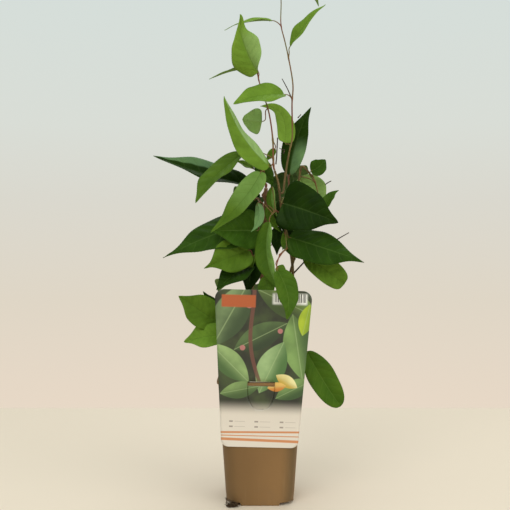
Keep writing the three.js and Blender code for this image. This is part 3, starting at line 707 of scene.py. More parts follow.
def print_finish():
    """The card's print, a plain design of its own: soft leaves on a dark green ground with a plain orange
    plate and a striped panel, fading into cream with small marks and orange bands. The card is glossy."""
    finish = Finish("printed_card", Coat_Weight=0.35, Coat_Roughness=0.18)
    place = finish.value("print", "Vector")
    x, y, behind = finish.parts(place)
    cloud = finish.noise(place, 0.035, 3)
    picture = finish.mix(cloud.rise(0.35, 0.7), (26, 30, 18), (58, 74, 34))
    leaves = [
        ((-33, 138), 62, 78, 36, (50, 72, 38), (124, 148, 98)),
        ((26, 150), -24, 72, 30, (56, 78, 30), (120, 148, 70)),
        ((36, 106), 100, 70, 30, (60, 92, 40), (132, 166, 92)),
        ((-2, 116), 28, 62, 26, (34, 54, 26), (84, 110, 60)),
        ((-33, 88), -44, 58, 26, (66, 98, 46), (150, 178, 112)),
        ((10, 84), 66, 60, 30, (70, 110, 52), (164, 192, 132)),
        ((34, 62), 28, 44, 20, (48, 80, 34), (120, 152, 84)),
        ((-22, 60), 12, 42, 18, (60, 88, 40), (128, 156, 92)),
        ((44, 134), 78, 34, 16, (120, 150, 20), (182, 202, 40)),
        ((26, 70), -30, 26, 13, (190, 160, 60), (240, 232, 170)),
        ((16, 64), 8, 20, 10, (196, 120, 40), (236, 206, 110)),
    ]
    for middle, heading, length, width, dark, light in leaves:
        mask, across = leaf_patch(x, y, middle, heading, length, width)
        body = finish.mix(across.rise(-0.7, 0.6) * (0.45 + cloud.rise(0.3, 0.65) * 0.55), dark, light)
        rib = 1 - abs(across).rise(0.02, 0.05)
        body = finish.mix(rib * 0.35, body, (176, 198, 140))
        picture = finish.mix(mask, picture, body)
    bend = (y * 0.045).sine() * 5
    twig = 1 - abs(x - bend - 6 + y * 0.12).rise(1.6, 2.4)
    picture = finish.mix(twig * y.rise(60, 75) * 0.9, picture, (104, 62, 50))
    for middle, radius in (((-14, 148), 3.2), ((18, 122), 2.6), ((-20, 104), 2.8)):
        dx, dy = x - middle[0], y - middle[1]
        spot = 1 - ((dx * dx + dy * dy) ** 0.5).rise(radius - 0.4, radius + 0.4)
        picture = finish.mix(spot, picture, (176, 112, 108))
    picture = finish.mix(within(x, y, (-25, 152), 18, 7, 1.5), picture, (176, 84, 36))
    picture = finish.mix(within(x, y, (27, 155), 19, 7, 3), picture, (232, 232, 226))
    stripe = finish.add("TexNoise", {"noise_dimensions": "1D"}, {"W": x, "Scale": 0.9, "Detail": 3.0})
    stripe = stripe.rise(0.5, 0.53) * within(x, y, (27, 156), 16, 4.5, 0.2)
    picture = finish.mix(stripe, picture, (40, 38, 36))
    cream = finish.mix(y.rise(0, 60) * 0.5, (224, 215, 203), (214, 202, 186))
    base = finish.mix(y.rise(33, 50), cream, picture)
    for height, slant, thick in ((16, 0.02, 1.0), (12, 0.0, 0.5), (7.5, -0.02, 1.4)):
        band = 1 - abs(y - x * slant - height).rise(thick * 0.8, thick * 1.2)
        base = finish.mix(band * 0.9, base, (204, 124, 62))
    for column in (-30, -4, 22):
        for row in (27, 21.5):
            mark = within(x, y, (column, row), 2, 0.9, 0.2)
            base = finish.mix(mark * 0.7, base, (120, 104, 96))
            rule = within(x, y, (column + 9, row), 5.5, 0.35, 0.2)
            base = finish.mix(rule * 0.5, base, (150, 136, 124))
    finish.feed("Base Color", finish.mix(behind.rise(0.3, 0.9), base, (214, 210, 200)))
    finish.feed("Roughness", 0.38 + finish.noise(place, 0.2, 2) * 0.08)
    return finish


sheets = [card_shape(), flap_shape(), tongue_shape()]
card_points, card_faces = join(sheets)
card_flat = np.concatenate([sheet[2] for sheet in sheets])
card_print = np.vstack([sheet[3] for sheet in sheets])
make_piece("picture_label", card_points, card_faces, [print_finish()], "label_card", ["label"],
           flat=card_flat, values={"print": card_print})


# The woody stems: three shoots rise from the root ball and twine up, the left one thick and cut off at a
# knot. Their bark is thin and brown, ridged lengthwise, with swollen nodes where leaves stood.
GAP = 0.3
BARK_WAVES = 14
RINGS_PER_MM = 1.4
TRUNK_SIDES = 36
STEM_SIDES = 24
TRUNK_CALLUS = 1.2
CALLUS_PLACE = 0.965
CALLUS_LENGTH = 3.2
NODE_SWELL = 0.32
NODE_LENGTH = 2.2


def smooth_path(knots, fine=20):
    """A smooth curve through the knots: between two neighbours it is a cubic whose slopes come from the
    knots around them, spaced by the square root of their distances."""
    knots = np.asarray(knots, float)
    ends = np.vstack([2 * knots[0] - knots[1], knots, 2 * knots[-1] - knots[-2]])
    p0, p1, p2, p3 = (ends[k:len(ends) - 3 + k] for k in range(4))
    pairs = ((p0, p1), (p1, p2), (p2, p3))
    d0, d1, d2 = (np.sqrt(np.linalg.norm(b - a, axis=1, keepdims=True)) for a, b in pairs)
    leave = ((p1 - p0) / d0 - (p2 - p0) / (d0 + d1) + (p2 - p1) / d1) * d1
    arrive = ((p2 - p1) / d1 - (p3 - p1) / (d1 + d2) + (p3 - p2) / d2) * d1
    t = (np.arange(fine) / fine)[None, :, None]
    a, b, leave, arrive = (part[:, None] for part in (p1, p2, leave, arrive))
    square = 3 * (b - a) - 2 * leave - arrive
    cube = 2 * (a - b) + leave + arrive
    curve = a + leave * t + square * t**2 + cube * t**3
    return np.vstack([curve.reshape(-1, 3), knots[-1:]])


def path_length(path):
    """The sum of the distances between neighbouring points."""
    return np.linalg.norm(np.diff(path, axis=0), axis=1).sum()


def tube(path, rows, sides, radius):
    """A closed round bar: each ring is the path's point plus the radius, a function of the share along
    the path and the angle round it, times the cosine and sine on two directions square to the path."""
    share = np.linspace(0, 1, rows)
    middle = at_share(path, share)
    way = unit(np.gradient(middle, axis=0))
    least = np.linalg.svd(middle - middle.mean(0))[2][2]
    side = unit(np.cross(way, least))
    other = np.cross(side, way)
    angle = np.linspace(0, 2 * np.pi, sides, endpoint=False)
    reach = np.broadcast_to(radius(share[:, None], angle[None]), (rows, sides))[..., None]
    cosine, sine = np.cos(angle)[None, :, None], np.sin(angle)[None, :, None]
    rings = middle[:, None] + (side[:, None] * cosine - other[:, None] * sine) * reach
    points = np.vstack([rings.reshape(-1, 3), middle[:1], middle[-1:]])
    first = np.arange(sides)
    after = (first + 1) % sides
    last = (rows - 1) * sides
    low = np.stack([first, after, np.full(sides, rows * sides)], 1)[:, ::-1]
    high = np.stack([first + last, after + last, np.full(sides, rows * sides + 1)], 1)
    return points, [grid_faces(rows, sides, True), np.vstack([low, high])]


def limb_radius(foot, tip, flare=0.0, fade=22):
    """An even taper, the same all round, with a flare that dies away above the foot."""
    return lambda share, angle=0.0: foot + (tip - foot) * share + flare * np.exp(-fade * share)


def bark_radius(taper, length, seed, ridge, nodes, callus=0.0):
    """The taper with bark on it: lengthwise ridges that wander round the stem, fine cross wrinkles, a
    swelling at each node and, on a cut stem, a callus at its end."""
    random = np.random.default_rng(seed)
    turns = random.integers(2, 10, BARK_WAVES)
    pace = random.uniform(-0.25, 0.25, BARK_WAVES)
    phase = random.uniform(0, 2 * np.pi, BARK_WAVES)

    def radius(share, angle):
        run = share * length
        waves = (np.cos(turns[k] * angle + pace[k] * run + phase[k]) for k in range(BARK_WAVES))
        relief = sum(waves) / BARK_WAVES**0.5
        wrinkle = np.sin(run * 2.1 + 1.3 * np.sin(angle + run * 0.2)) * 0.3
        swell = sum(np.exp(-(((share - node) * length / NODE_LENGTH) ** 2)) for node in nodes)
        knot = np.exp(-(((share - CALLUS_PLACE) * length / CALLUS_LENGTH) ** 2))
        knot = callus * knot * (1 + 0.25 * np.cos(2 * angle + 1))
        return taper(share) * (1 + ridge * (relief + wrinkle) + NODE_SWELL * swell + knot)

    return radius


stems = {
    "trunk": dict(
        path=smooth_path([(0, 4, 117), (0, 4, 124), (0.5, 4, 150), (2, 4, 195), (3, 4, 237), (6, 4, 290),
                          (6.5, 4, 334)]),
        taper=limb_radius(3.5, 1.9, 3), ridge=0.055, nodes=[0.14, 0.36, 0.55, 0.78]),
    "right_stem": dict(
        path=smooth_path([(20, 8, 117), (21, 8, 122), (26, 8, 160), (33, 8, 205), (36, 5, 240),
                          (34, 3, 262), (27, -1, 292), (23, -4, 311), (20, -4, 338), (16, -4, 352)]),
        taper=limb_radius(1.9, 1.2, 1), ridge=0.045, nodes=[0.16, 0.4, 0.62, 0.8, 0.91]),
    "thin_stem": dict(
        path=smooth_path([(8, 14, 117), (9, 14, 122), (18, 14, 170), (28, 13, 215), (33, 12, 240),
                          (39, 11, 262), (40, 10, 280), (36, 10, 305), (33, 11, 326)]),
        taper=limb_radius(1.6, 1.1, 0.8), ridge=0.04, nodes=[0.2, 0.45, 0.7, 0.93]),
}


def on_bark(stem, height, heading):
    """Where a side twig starts: on a stem's bark at a height, just clear of it, on one heading."""
    shares = np.linspace(0, 1, 2000)
    share = shares[np.searchsorted(at_share(stem["path"], shares)[:, 2], height)]
    out = stem["taper"](share) + GAP + 0.1
    middle = at_share(stem["path"], share)
    way = np.array([math.cos(math.radians(heading)), math.sin(math.radians(heading)), 0])
    return [middle + way * out, middle + way * (out + 3) + np.array([0, 0, 0.6])]


def on_tip(stem):
    """Where a twig goes on from a stem's tip."""
    end = stem["path"][-1]
    way = unit(stem["path"][-1] - stem["path"][-2])
    return [end + way * (GAP + 0.1), end + way * 4]


stems["leader"] = dict(
    path=smooth_path([*on_bark(stems["right_stem"], 328, 40), (27, 1, 343), (29, 2, 357), (32, 2, 373)]),
    taper=limb_radius(1.2, 1.05), ridge=0.035, nodes=[0.5])
stems["side_shoot"] = dict(
    path=smooth_path([*on_bark(stems["thin_stem"], 318, 0), (43, 7, 345), (46, 4, 358), (52, 3, 353),
                      (57, 3, 346)]),
    taper=limb_radius(1.3, 1.1), ridge=0.035, nodes=[0.65])


def bark_finish(name, dark, light, patch):
    """Thin bark: brown, streaked lengthwise, in patches of another brown, with small pale spots."""
    finish = Finish(name, Specular_IOR_Level=0.35)
    place = finish.place()
    streak = finish.noise(finish.add("Mapping", inputs={"Vector": place, "Scale": (900, 900, 90)}), 1, 4)
    base = finish.mix(streak.rise(0.3, 0.7), dark, light)
    base = finish.mix(finish.noise(place, 45, 2).rise(0.5, 0.7) * 0.5, base, patch)
    dots = finish.add("TexVoronoi", {"feature": "F1"}, {"Vector": place, "Scale": 420})
    finish.feed("Base Color", finish.mix((1 - dots.rise(0.12, 0.22)) * 0.6, base, (158, 132, 92)))
    finish.feed("Roughness", 0.6 + streak * 0.2)
    finish.relief(streak * 0.8 + dots * 0.3, 0.00025)
    return finish


old_bark = bark_finish("brown_bark", (92, 62, 40), (148, 108, 70), (136, 88, 52))
young_bark = bark_finish("reddish_bark", (66, 50, 26), (118, 98, 52), (108, 94, 46))

for name, stem in stems.items():
    thick = name == "trunk"
    length = path_length(stem["path"])
    callus = TRUNK_CALLUS if thick else 0.0
    rough = bark_radius(stem["taper"], length, len(name), stem["ridge"], stem["nodes"], callus)
    sides = TRUNK_SIDES if thick else STEM_SIDES
    points, faces = tube(stem["path"], int(length * RINGS_PER_MM), sides, rough)
    make_piece(name + "_bark", points, faces, [old_bark if thick else young_bark],
               "bark" if thick else "shoot", [name])


# The foliage: simple pointed leaves with finely toothed edges, on long red stalks. Each mass of them grows
# from one green twig, as in the solids: leaves that show in front are told one by one, the rest by rule.
BLADE_ROWS = 96
BLADE_HALF_COLUMNS = 10
BLADE_THICK = 0.36
LEAST_HALF_WIDTH = 0.3
SIDE_VEINS = 7
VEIN_OFFSET = 0.35
WAVES_ALONG = 1.6
ROLLS_ALONG = 2.3
FOLD_RISE = 1.25
FOLD_SAG = 0.352
TOOTH_DEPTH = 0.4
VEIN_PILLOW = 0.019
RIM_ROLL = 0.03
RIB_HALF_WIDTH = 0.9
RIB_GROOVE = 0.12
RIB_KEEL = 0.55
TWIG_SHARE = 0.85
TWIG_SIDES = 12
STALK_ROWS = 22
STALK_SIDES = 8
STALK_RADIUS = limb_radius(0.62, 0.45, 0.4, 30)
PLAIN_LEAF = dict(sweep=0, arch=0, lead=0, fold=18, wave=0.1, widest=0.38, drawn=0.45, round_base=0.5,
                  sheen=(1, 0, 0, 1), sheen_from=0)


def blade_outline(u, widest, drawn, round_base):
    """Half the blade's width as a share of the greatest: a power of u times a power of what is left of it,
    so it is round at the base, drawn in over the last third to a long tip."""
    high = round_base * (1 - widest) / widest
    body = u**round_base * (1 - u) ** high / (widest**round_base * (1 - widest) ** high)
    return body * (1 - drawn * smooth_rise((u - 0.6) / 0.32))


def blade_frame(leaf, u, random):
    """The midrib and the directions beside it and out of it, row by row: an arc through the blade's two
    ends, curled at the tip, about which the blade turns evenly."""
    base, tip, faces = (np.array(leaf[key], float) for key in ("base", "tip", "faces"))
    chord = unit(tip - base)
    up = unit(faces - chord * faces.dot(chord))
    right = np.cross(chord, up)
    middle = (base + tip) / 2 + right * 2 * leaf["sweep"] + up * 2 * leaf["arch"] + chord * leaf["lead"]
    rib = base * (1 - u) ** 2 + 2 * middle * u * (1 - u) + tip * u**2
    curl = np.array(leaf["curl"]) if "curl" in leaf else up * random.uniform(-3, 1)
    rib = rib + smooth_rise((u - 0.7) / 0.3) ** 2 * curl
    way = unit(np.gradient(rib, axis=0))
    side = unit(np.cross(way, up))
    normal = np.cross(side, way)
    twist = np.radians(leaf.get("twist", random.uniform(-7, 7))) * (u - 0.2)
    cosine, sine = np.cos(twist), np.sin(twist)
    return rib, side * cosine + normal * sine, normal * cosine - side * sine


def blade_skin(columns):
    """Faces of a blade whose rows run along its upper side and back along its lower side, closed at both
    ends, with the finish of each face and whether it is flat, as those of the rim are."""
    cell = np.arange(2 * columns)
    first = np.arange(columns - 1)
    cap = np.stack([first, 2 * columns - 1 - first, 2 * columns - 2 - first, first + 1], 1)
    far = cap[:, ::-1] + (BLADE_ROWS - 1) * 2 * columns
    index = np.tile((cell >= columns - 1).astype(int), BLADE_ROWS - 1)
    flat = np.tile((cell == columns - 1) | (cell == 2 * columns - 1), BLADE_ROWS - 1)
    ends = np.ones(2 * len(first), int)
    faces = np.vstack([grid_faces(BLADE_ROWS, 2 * columns, True), cap, far])
    return faces, np.concatenate([index, ends]), np.concatenate([flat, ends.astype(bool)])


def leaf_blade(leaf, random):
    """One blade. Across its midrib, on both sides, it rises in a shallow fold, turns down towards its edge,
    bulges between the side veins and waves at the rim. Small teeth point to the tip. The upper and the
    lower side are a leaf's thickness apart."""
    u = np.linspace(0, 1, BLADE_ROWS)[:, None]
    rib, side, normal = blade_frame(leaf, u, random)
    spread = (np.arange(BLADE_HALF_COLUMNS + 1) / BLADE_HALF_COLUMNS) ** 1.15
    v = np.concatenate([-spread[:0:-1], spread])[None]
    half = leaf["width"] / 2 * blade_outline(u, leaf["widest"], leaf["drawn"], leaf["round_base"])
    half = np.maximum(half, LEAST_HALF_WIDTH)
    tooth = (np.arange(BLADE_ROWS) % 3 / 2)[:, None] * smooth_rise((u - 0.08) / 0.1) * (1 - u) ** 0.3
    reach = half + np.minimum(TOOTH_DEPTH * tooth, 0.07 * half) * np.abs(v) ** 8
    fold = math.radians(leaf["fold"])
    across = v * reach * math.cos(fold)
    run = np.clip(u - half * (0.6 * np.abs(v) + 0.4 * np.abs(v) ** 3) / path_length(rib), 0, 1)
    veins = SIDE_VEINS * run**0.85 + np.where(v < 0, VEIN_OFFSET, 0)
    pillow = np.sin(np.pi * veins) ** 2 * np.sin(np.pi * np.abs(v)) ** 0.6
    phase = random.uniform(0, 2 * np.pi, 2)
    wave = np.sin(2 * np.pi * WAVES_ALONG * u + np.where(v < 0, phase[0], phase[1])) * np.abs(v) ** 3
    roll = np.sin(2 * np.pi * ROLLS_ALONG * u + 1.5 * v + phase[0]) * np.abs(v)
    height = half * (math.sin(fold) * (FOLD_RISE * np.abs(v) - FOLD_SAG * v**2) + leaf["wave"] * wave)
    height = height + VEIN_PILLOW * leaf["width"] * pillow + RIM_ROLL * half * roll
    keel = np.exp(-((v * half / RIB_HALF_WIDTH) ** 2)) * (1 - u) ** 0.7

    def sheet(offset):
        rise = (height + offset)[..., None]
        return rib[:, None] + side[:, None] * across[..., None] + normal[:, None] * rise

    upper = sheet(BLADE_THICK / 2 - RIB_GROOVE * keel)
    lower = sheet(-BLADE_THICK / 2 - RIB_KEEL * keel)[:, ::-1]
    ring = np.concatenate([upper, lower], 1)
    faces, index, flat = blade_skin(v.shape[1])
    beside = np.broadcast_to(np.concatenate([v, v[:, ::-1]], 1), ring.shape[:2])
    veins = np.concatenate([veins, veins[:, ::-1]], 1)
    along = np.broadcast_to(u, ring.shape[:2])
    # Painted highlight: a paler tint on one half, or on both, for light falling on the leaf.
    paler_half, amount, since, until = leaf["sheen"]
    sheen = amount * smooth_rise((beside * paler_half - leaf["sheen_from"]) / 0.06 + 0.5)
    sheen = sheen * smooth_rise((along - since) / 0.1 + 0.5) * (1 - smooth_rise((along - until) / 0.3))
    tone = np.full(sheen.size, leaf["tone"] + random.uniform(-0.05, 0.05))
    blade = np.stack([beside, veins, along], -1).reshape(-1, 3)
    values = {"blade": blade, "tone": tone, "sheen": sheen.ravel()}
    return ring.reshape(-1, 3), [faces], index, flat, values


def leaf_stalk(stem_path, leaf):
    """The stalk's path: out of the twig, up in a low arc and into the blade's base."""
    start = at_share(stem_path, leaf["on"])
    base, tip = np.array(leaf["base"], float), np.array(leaf["tip"], float)
    span = np.linalg.norm(base - start)
    inward = unit(tip - base) * -0.3 * span
    between = start + (base - start) * 0.35 + np.array([0, 0, 0.12 * span])
    near = (base + inward + start + (base - start) * 0.75) / 2
    return smooth_path([start, between, near, base, base + unit(tip - base) * 3])


def series(seed):
    """The same small random series as the solids are grown by."""
    state = seed
    while True:
        state = state * 16807 % 2147483647
        yield state / 2147483647


def leaves_by_rule(stem_path, count, start, heading, fan, sizes, seed, droop=(12, 54), tone=0.2):
    """Leaves along the twig at even steps, on headings inside a fan, drooping outwards."""
    draw = series(seed)
    leaves = []
    for k in range(count):
        on = start + (1 - start) * (k + 0.5) / count
        turn = ((k * 0.618 + next(draw) * 0.2) % 1) * 2 - 1
        angle = math.radians(heading + fan * turn)
        out = np.array([math.cos(angle), math.sin(angle), 0])
        reach = 14 + 10 * next(draw)
        length = sizes[0] + (sizes[1] - sizes[0]) * next(draw)
        down = math.radians(droop[0] + (droop[1] - droop[0]) * next(draw))
        base = at_share(stem_path, on) + out * reach + np.array([0, 0, 3 + 9 * next(draw)])
        tip = base + out * length * math.cos(down) - np.array([0, 0, length * math.sin(down)])
        width = length * (0.44 + 0.1 * next(draw))
        faces = (out[0] * 0.5, out[1] * 0.5, 1)
        leaves.append(told(on, base, tip, width, faces, tone, sweep=6 * next(draw) - 3, arch=0.07 * length))
    return leaves


def told(on, base, tip, width, faces, tone, **more):
    """A leaf: its place on the twig, the two ends of its midrib, its width, where its upper side looks and
    its green, from 0 for the deepest to 1 for yellow green. sweep and arch are how far the midrib's middle
    lies to the right and upwards, and lead how far its bend lies towards the tip. A painted highlight makes
    one half paler, or both: its entry tells which half, how much, and from where to where along it."""
    return dict(PLAIN_LEAF, on=on, base=base, tip=tip, width=width, faces=faces, tone=tone, **more)


masses = {
    "leader_foliage": dict(
        start=on_tip(stems["leader"]), foot=1.05, tip=0.5,
        through=[(35, 2, 387), (35, 2, 427), (36, 2, 446), (31, 2, 477), (27, 2, 495), (23, 2, 512),
                 (23, 2, 539), (20, 1, 575), (17, 0, 596)],
        leaves=[
            told(0.03, (27.5, 6, 384), (0.6, 11, 425.5), 21, (0.3, -0.9, 0.2), 0.88, sweep=16, lead=12,
                 fold=10, widest=0.18, drawn=0, round_base=0.2),
            told(0.26, (26, -8, 434), (-28, -24, 421), 30, (-0.1, -0.8, 0.6), 0.8, arch=4, round_base=0.4),
            told(0.46, (33, -2, 488), (68, -22, 527), 21, (-0.6, -0.6, 0.5), 0.8, sweep=2.5, arch=3,
                 widest=0.33, drawn=0.3),
            told(0.62, (13, 2, 517), (-39, -3, 507.4), 14, (-0.1, -0.5, 0.86), 0.9, arch=2.5, lead=-5,
                 widest=0.26, drawn=0.85),
            told(0.85, (12, -6, 572), (-16, -20, 588), 19, (-0.4, -0.4, 0.8), 1.0, arch=3),
            told(0.93, (23, 3, 589), (44, 4, 602), 15, (0.2, -0.5, 0.8), 1.0, arch=2),
            told(0.99, (15, 2, 600), (8, 5, 615), 8, (-0.5, -0.7, 0.4), 1.0),
        ],
        more=dict(count=2, start=0.78, heading=70, fan=50, sizes=(34, 44), seed=19, tone=0.8)),
    "upper_left_foliage": dict(
        start=on_tip(stems["right_stem"]), foot=1.2, tip=0.7,
        through=[(14, -4, 384), (12, -4, 402), (9, -4, 418), (3, -2, 437), (-1, -1, 450), (-3, 1, 460)],
        leaves=[
            told(0.92, (-1.6, -2, 459.5), (-24.4, -22, 510.8), 39, (-0.57, -0.7, -0.42), 0.92, sweep=-4,
                 lead=-5, fold=27, twist=-115, curl=(3.2, 0, 5), widest=0.31, drawn=0.45, round_base=0.24,
                 sheen=(1, 0.5, 0, 0.6)),
            told(0.99, (-9.1, 14, 468), (-55.6, 6, 453), 14, (-0.1, -0.1, 0.99), 0.8, arch=3),
            told(0.62, (2, 9, 408), (-20, 2, 409), 29, (0, 1, 0.1), 0.58, fold=14, widest=0.2, drawn=0,
                 round_base=0.22, sheen=(0, 1.6, 0, 1)),
            told(0.06, (10.2, -11, 356), (-37.2, -18, 430.6), 30, (0.57, -0.74, 0.35), 0.7, sweep=-10,
                 fold=-22, widest=0.3, drawn=0.3, round_base=0.35, sheen=(1, 1, 0.05, 1)),
            told(0.12, (-18, 0, 371), (-67, -32, 315), 31, (-0.3, -0.6, 0.7), 0.59, sweep=8,
                 round_base=0.45),
            told(0.3, (16.4, 2, 377), (6.5, 0, 363), 8, (0, -1, 0), 0.65),
        ]),
    "left_foliage": dict(
        start=on_tip(stems["trunk"]), foot=1.5, tip=0.9, through=[(5, 4, 339), (3, 5, 346)],
        leaves=[
            told(0.5, (-11, 16, 338), (-117, 6, 370), 38, (0, -0.62, 0.78), 0.1, arch=-3, fold=24,
                 sheen=(1, 0.8, 0.3, 0.97), sheen_from=0.4),
            told(0.3, (1.1, -20, 349), (-50.6, -40, 283.7), 26.5, (-0.25, -0.9, 0.35), 0.57, sweep=-4.5,
                 lead=-8, widest=0.34, drawn=0.5, round_base=0.35, sheen=(0, 0.9, 0, 0.4)),
            told(0.9, (-4, 9, 363), (15, 11, 337), 23, (0.3, -0.8, 0.4), 0.35),
            told(0.95, (-7, 7, 355.5), (-28, 5, 365), 11, (0, -0.6, 0.8), 0.9),
        ]),
    "middle_left_foliage": dict(
        start=on_bark(stems["trunk"], 282, 200), foot=1.3, tip=0.9, through=[(-4, 0, 290), (-7, -1, 294)],
        leaves=[
            told(0.9, (-11, -1, 296), (-103, -20, 258), 50, (-0.2, -0.75, 0.6), 0.24, arch=4, fold=-3,
                 widest=0.27, drawn=0.42),
            told(0.5, (-2, -11, 287), (-49, -30, 286), 44, (0, -1, 0.15), 0.3, arch=2, widest=0.3,
                 round_base=0.3),
            # A deepest-green leaf that fills a dark gap between the leaves: painted shade.
            told(0.3, (-4.3, -2, 322), (-26, -6, 296.5), 22, (-0.2, -0.95, 0), 0.0),
        ]),
    "lower_left_foliage": dict(
        start=on_bark(stems["trunk"], 250, 230), foot=1.3, tip=0.9,
        through=[(-5, -6, 256), (-7, -10, 258)],
        leaves=[
            told(0.95, (-11.7, -11, 266), (-58.4, -29, 247.5), 39, (-0.05, -0.98, 0.2), 0.66, arch=2,
                 wave=0.12, widest=0.33, drawn=0.75, round_base=0.35),
            told(0.7, (-9, -8, 251), (-46, -23, 224), 33, (-0.1, -0.7, 0.7), 0.15, arch=3),
            told(0.6, (9, -24, 238), (2, -34, 209), 18, (0.1, -0.9, 0.3), 0.5, arch=2),
            told(0.3, (-5, -3, 269), (-14, -9, 217), 24, (0, -0.95, 0.2), 0.0),
            told(0.5, (-6, -14, 261), (-10.6, -18, 242), 4.5, (-0.3, -0.9, 0.1), 0.6),
        ]),
    "centre_foliage": dict(
        start=on_bark(stems["right_stem"], 306, 230), foot=1.1, tip=0.8,
        through=[(17, -14, 308), (12.5, -22, 304)],
        leaves=[
            told(0.97, (9.9, -34, 295.3), (20, -46, 225), 27, (-0.7, -0.7, 0.1), 0.5, sweep=10, fold=27,
                 drawn=0.2, sheen=(-1, 0.7, 0, 1)),
            told(0.6, (13.5, -12, 334), (20, -14, 300), 10, (-0.3, -0.9, 0.1), 0.5, sweep=4.5,
                 sheen=(-1, 0.7, 0, 1)),
            told(0.9, (-2.6, -26, 315.6), (-8.9, -34, 284.3), 10, (0.2, 0.95, 0.1), 0.15, sweep=5, fold=8,
                 sheen=(0, 1.7, 0, 1)),
            told(0.7, (8, -12, 313.4), (22.5, -14, 285), 9, (-0.2, -0.95, 0.1), 0.5, sweep=3),
            told(0.5, (18.4, -4, 292), (18.3, -8, 261), 14, (0, -1, 0), 0.0),
        ]),
    "front_foliage": dict(
        start=on_bark(stems["right_stem"], 266, 270), foot=1.1, tip=0.8,
        through=[(30, -14, 268), (26, -32, 266), (20, -45, 261)],
        leaves=[
            told(0.99, (17.2, -54, 246), (27.3, -68, 197.5), 24, (0.3, -0.95, 0.1), 0.47, sweep=-5.5,
                 round_base=0.4),
            told(0.45, (26, -15, 285), (24, -17, 266), 8, (0.5, -0.8, 0), 0.5),
            told(0.8, (17.5, -42, 249), (26, -46, 241), 11, (0.1, -0.9, 0.5), 0.65),
        ]),
    "right_foliage": dict(
        start=on_bark(stems["right_stem"], 316, 300), foot=1.2, tip=0.9,
        through=[(25, -9, 321), (26, -11, 323)],
        leaves=[
            told(0.9, (24.2, -18, 316), (81, -36, 294.8), 53, (-0.1, -1, 0.05), 0.0, sweep=-0.5, arch=4,
                 fold=12, widest=0.2, drawn=0.45, round_base=0.18),
            # A deepest-green leaf behind the big one, put in for the deep shade there: painted shade.
            told(0.5, (25, 5, 322), (33.3, 6, 279), 26, (0, -1, 0), 0.0, fold=8),
        ]),
    "lower_right_foliage": dict(
        start=on_bark(stems["right_stem"], 258, 320), foot=1.2, tip=0.9,
        through=[(42, -3, 263), (46, -5, 266)],
        leaves=[
            told(0.6, (30.5, -14, 280), (108, -37, 254), 42, (0, -0.82, 0.5), 0.29, arch=1, fold=-10,
                 widest=0.27, drawn=0.5, round_base=0.35),
            told(0.95, (48, -2, 261), (90, -15, 230), 28, (0, -1, 0.2), 0.62, arch=2, widest=0.6, drawn=0,
                 round_base=0.45),
        ]),
    "side_shoot_foliage": dict(
        start=on_tip(stems["side_shoot"]), foot=1, tip=0.7, through=[(62, 4, 335), (64, 5, 326)],
        leaves=[
            told(0.15, (55.3, -0.5, 352), (70.9, -1, 365.4), 19, (-0.1, -0.98, 0.1), 0.28, sweep=2,
                 round_base=0.4),
            told(0.3, (43, 13, 346), (71, 17, 315), 36, (-0.1, -0.98, 0.1), 0.78, fold=8, widest=0.45,
                 drawn=0.2, sheen=(0, 1, 0, 1)),
            told(0.97, (69.6, 4, 311), (85.2, 2, 332.4), 13, (-0.3, -0.8, 0.5), 0.45, sweep=-2),
        ]),
    "upright_foliage": dict(
        start=on_tip(stems["thin_stem"]), foot=1.1, tip=0.7,
        through=[(32, 16, 336), (32, 22, 346), (33, 28, 356)],
        leaves=[
            told(0.25, (33, 18, 350), (56.5, 14, 425), 28, (-0.2, -0.95, 0.1), 0.14, sweep=-4,
                 sheen=(1, 0.9, 0, 0.3)),
        ],
        more=dict(count=3, start=0.2, heading=88, fan=26, sizes=(52, 70), seed=23)),
    "low_left_foliage": dict(
        start=on_bark(stems["trunk"], 166, 210), foot=1.2, tip=0.9,
        through=[(-16, -6, 176), (-30, -16, 184), (-35, -20, 186)],
        leaves=[
            told(0.98, (-44, -25, 189.5), (-85, -31, 218), 35, (-0.2, -0.9, 0.3), 0.64, arch=3),
            told(0.85, (-44, -14, 193), (-61, -17, 222), 19, (0.5, -0.7, 0.4), 0.2),
            told(0.75, (-36, -31, 178), (-79, -36, 171), 29, (0, -0.85, 0.5), 0.75, arch=3,
                 round_base=0.4),
        ]),
    "low_right_foliage": dict(
        start=on_bark(stems["right_stem"], 150, 330), foot=1.1, tip=0.8,
        through=[(33, -2, 160), (41, -9, 164)],
        leaves=[
            told(0.97, (50, -15, 158), (85.5, -21, 100.5), 31, (0.2, -0.95, 0.1), 0.5, sweep=2, arch=2,
                 widest=0.5, drawn=0, round_base=0.5),
        ],
        more=dict(count=1, start=0.3, heading=92, fan=5, sizes=(60, 64), seed=3, tone=0.4)),
    "back_left_foliage": dict(
        start=on_bark(stems["trunk"], 300, 100), foot=1.4, tip=0.8,
        through=[(4, 13, 307), (-1, 20, 317), (-6, 26, 328)],
        leaves=[],
        more=dict(count=5, start=0.25, heading=102, fan=12, sizes=(54, 72), droop=(5, 38), seed=41)),
    "back_right_foliage": dict(
        start=on_bark(stems["trunk"], 256, 80), foot=1.4, tip=0.8,
        through=[(7, 18, 266), (11, 25, 278), (16, 30, 290)],
        leaves=[],
        more=dict(count=5, start=0.3, heading=54, fan=22, sizes=(54, 70), droop=(5, 34), seed=67)),
    "back_low_foliage": dict(
        start=on_bark(stems["trunk"], 180, 110), foot=1.3, tip=0.8,
        through=[(-4, 20, 198), (-10, 28, 216), (-15, 33, 230)],
        leaves=[],
        more=dict(count=4, start=0.3, heading=92, fan=40, sizes=(52, 70), seed=83, tone=0.4)),
}


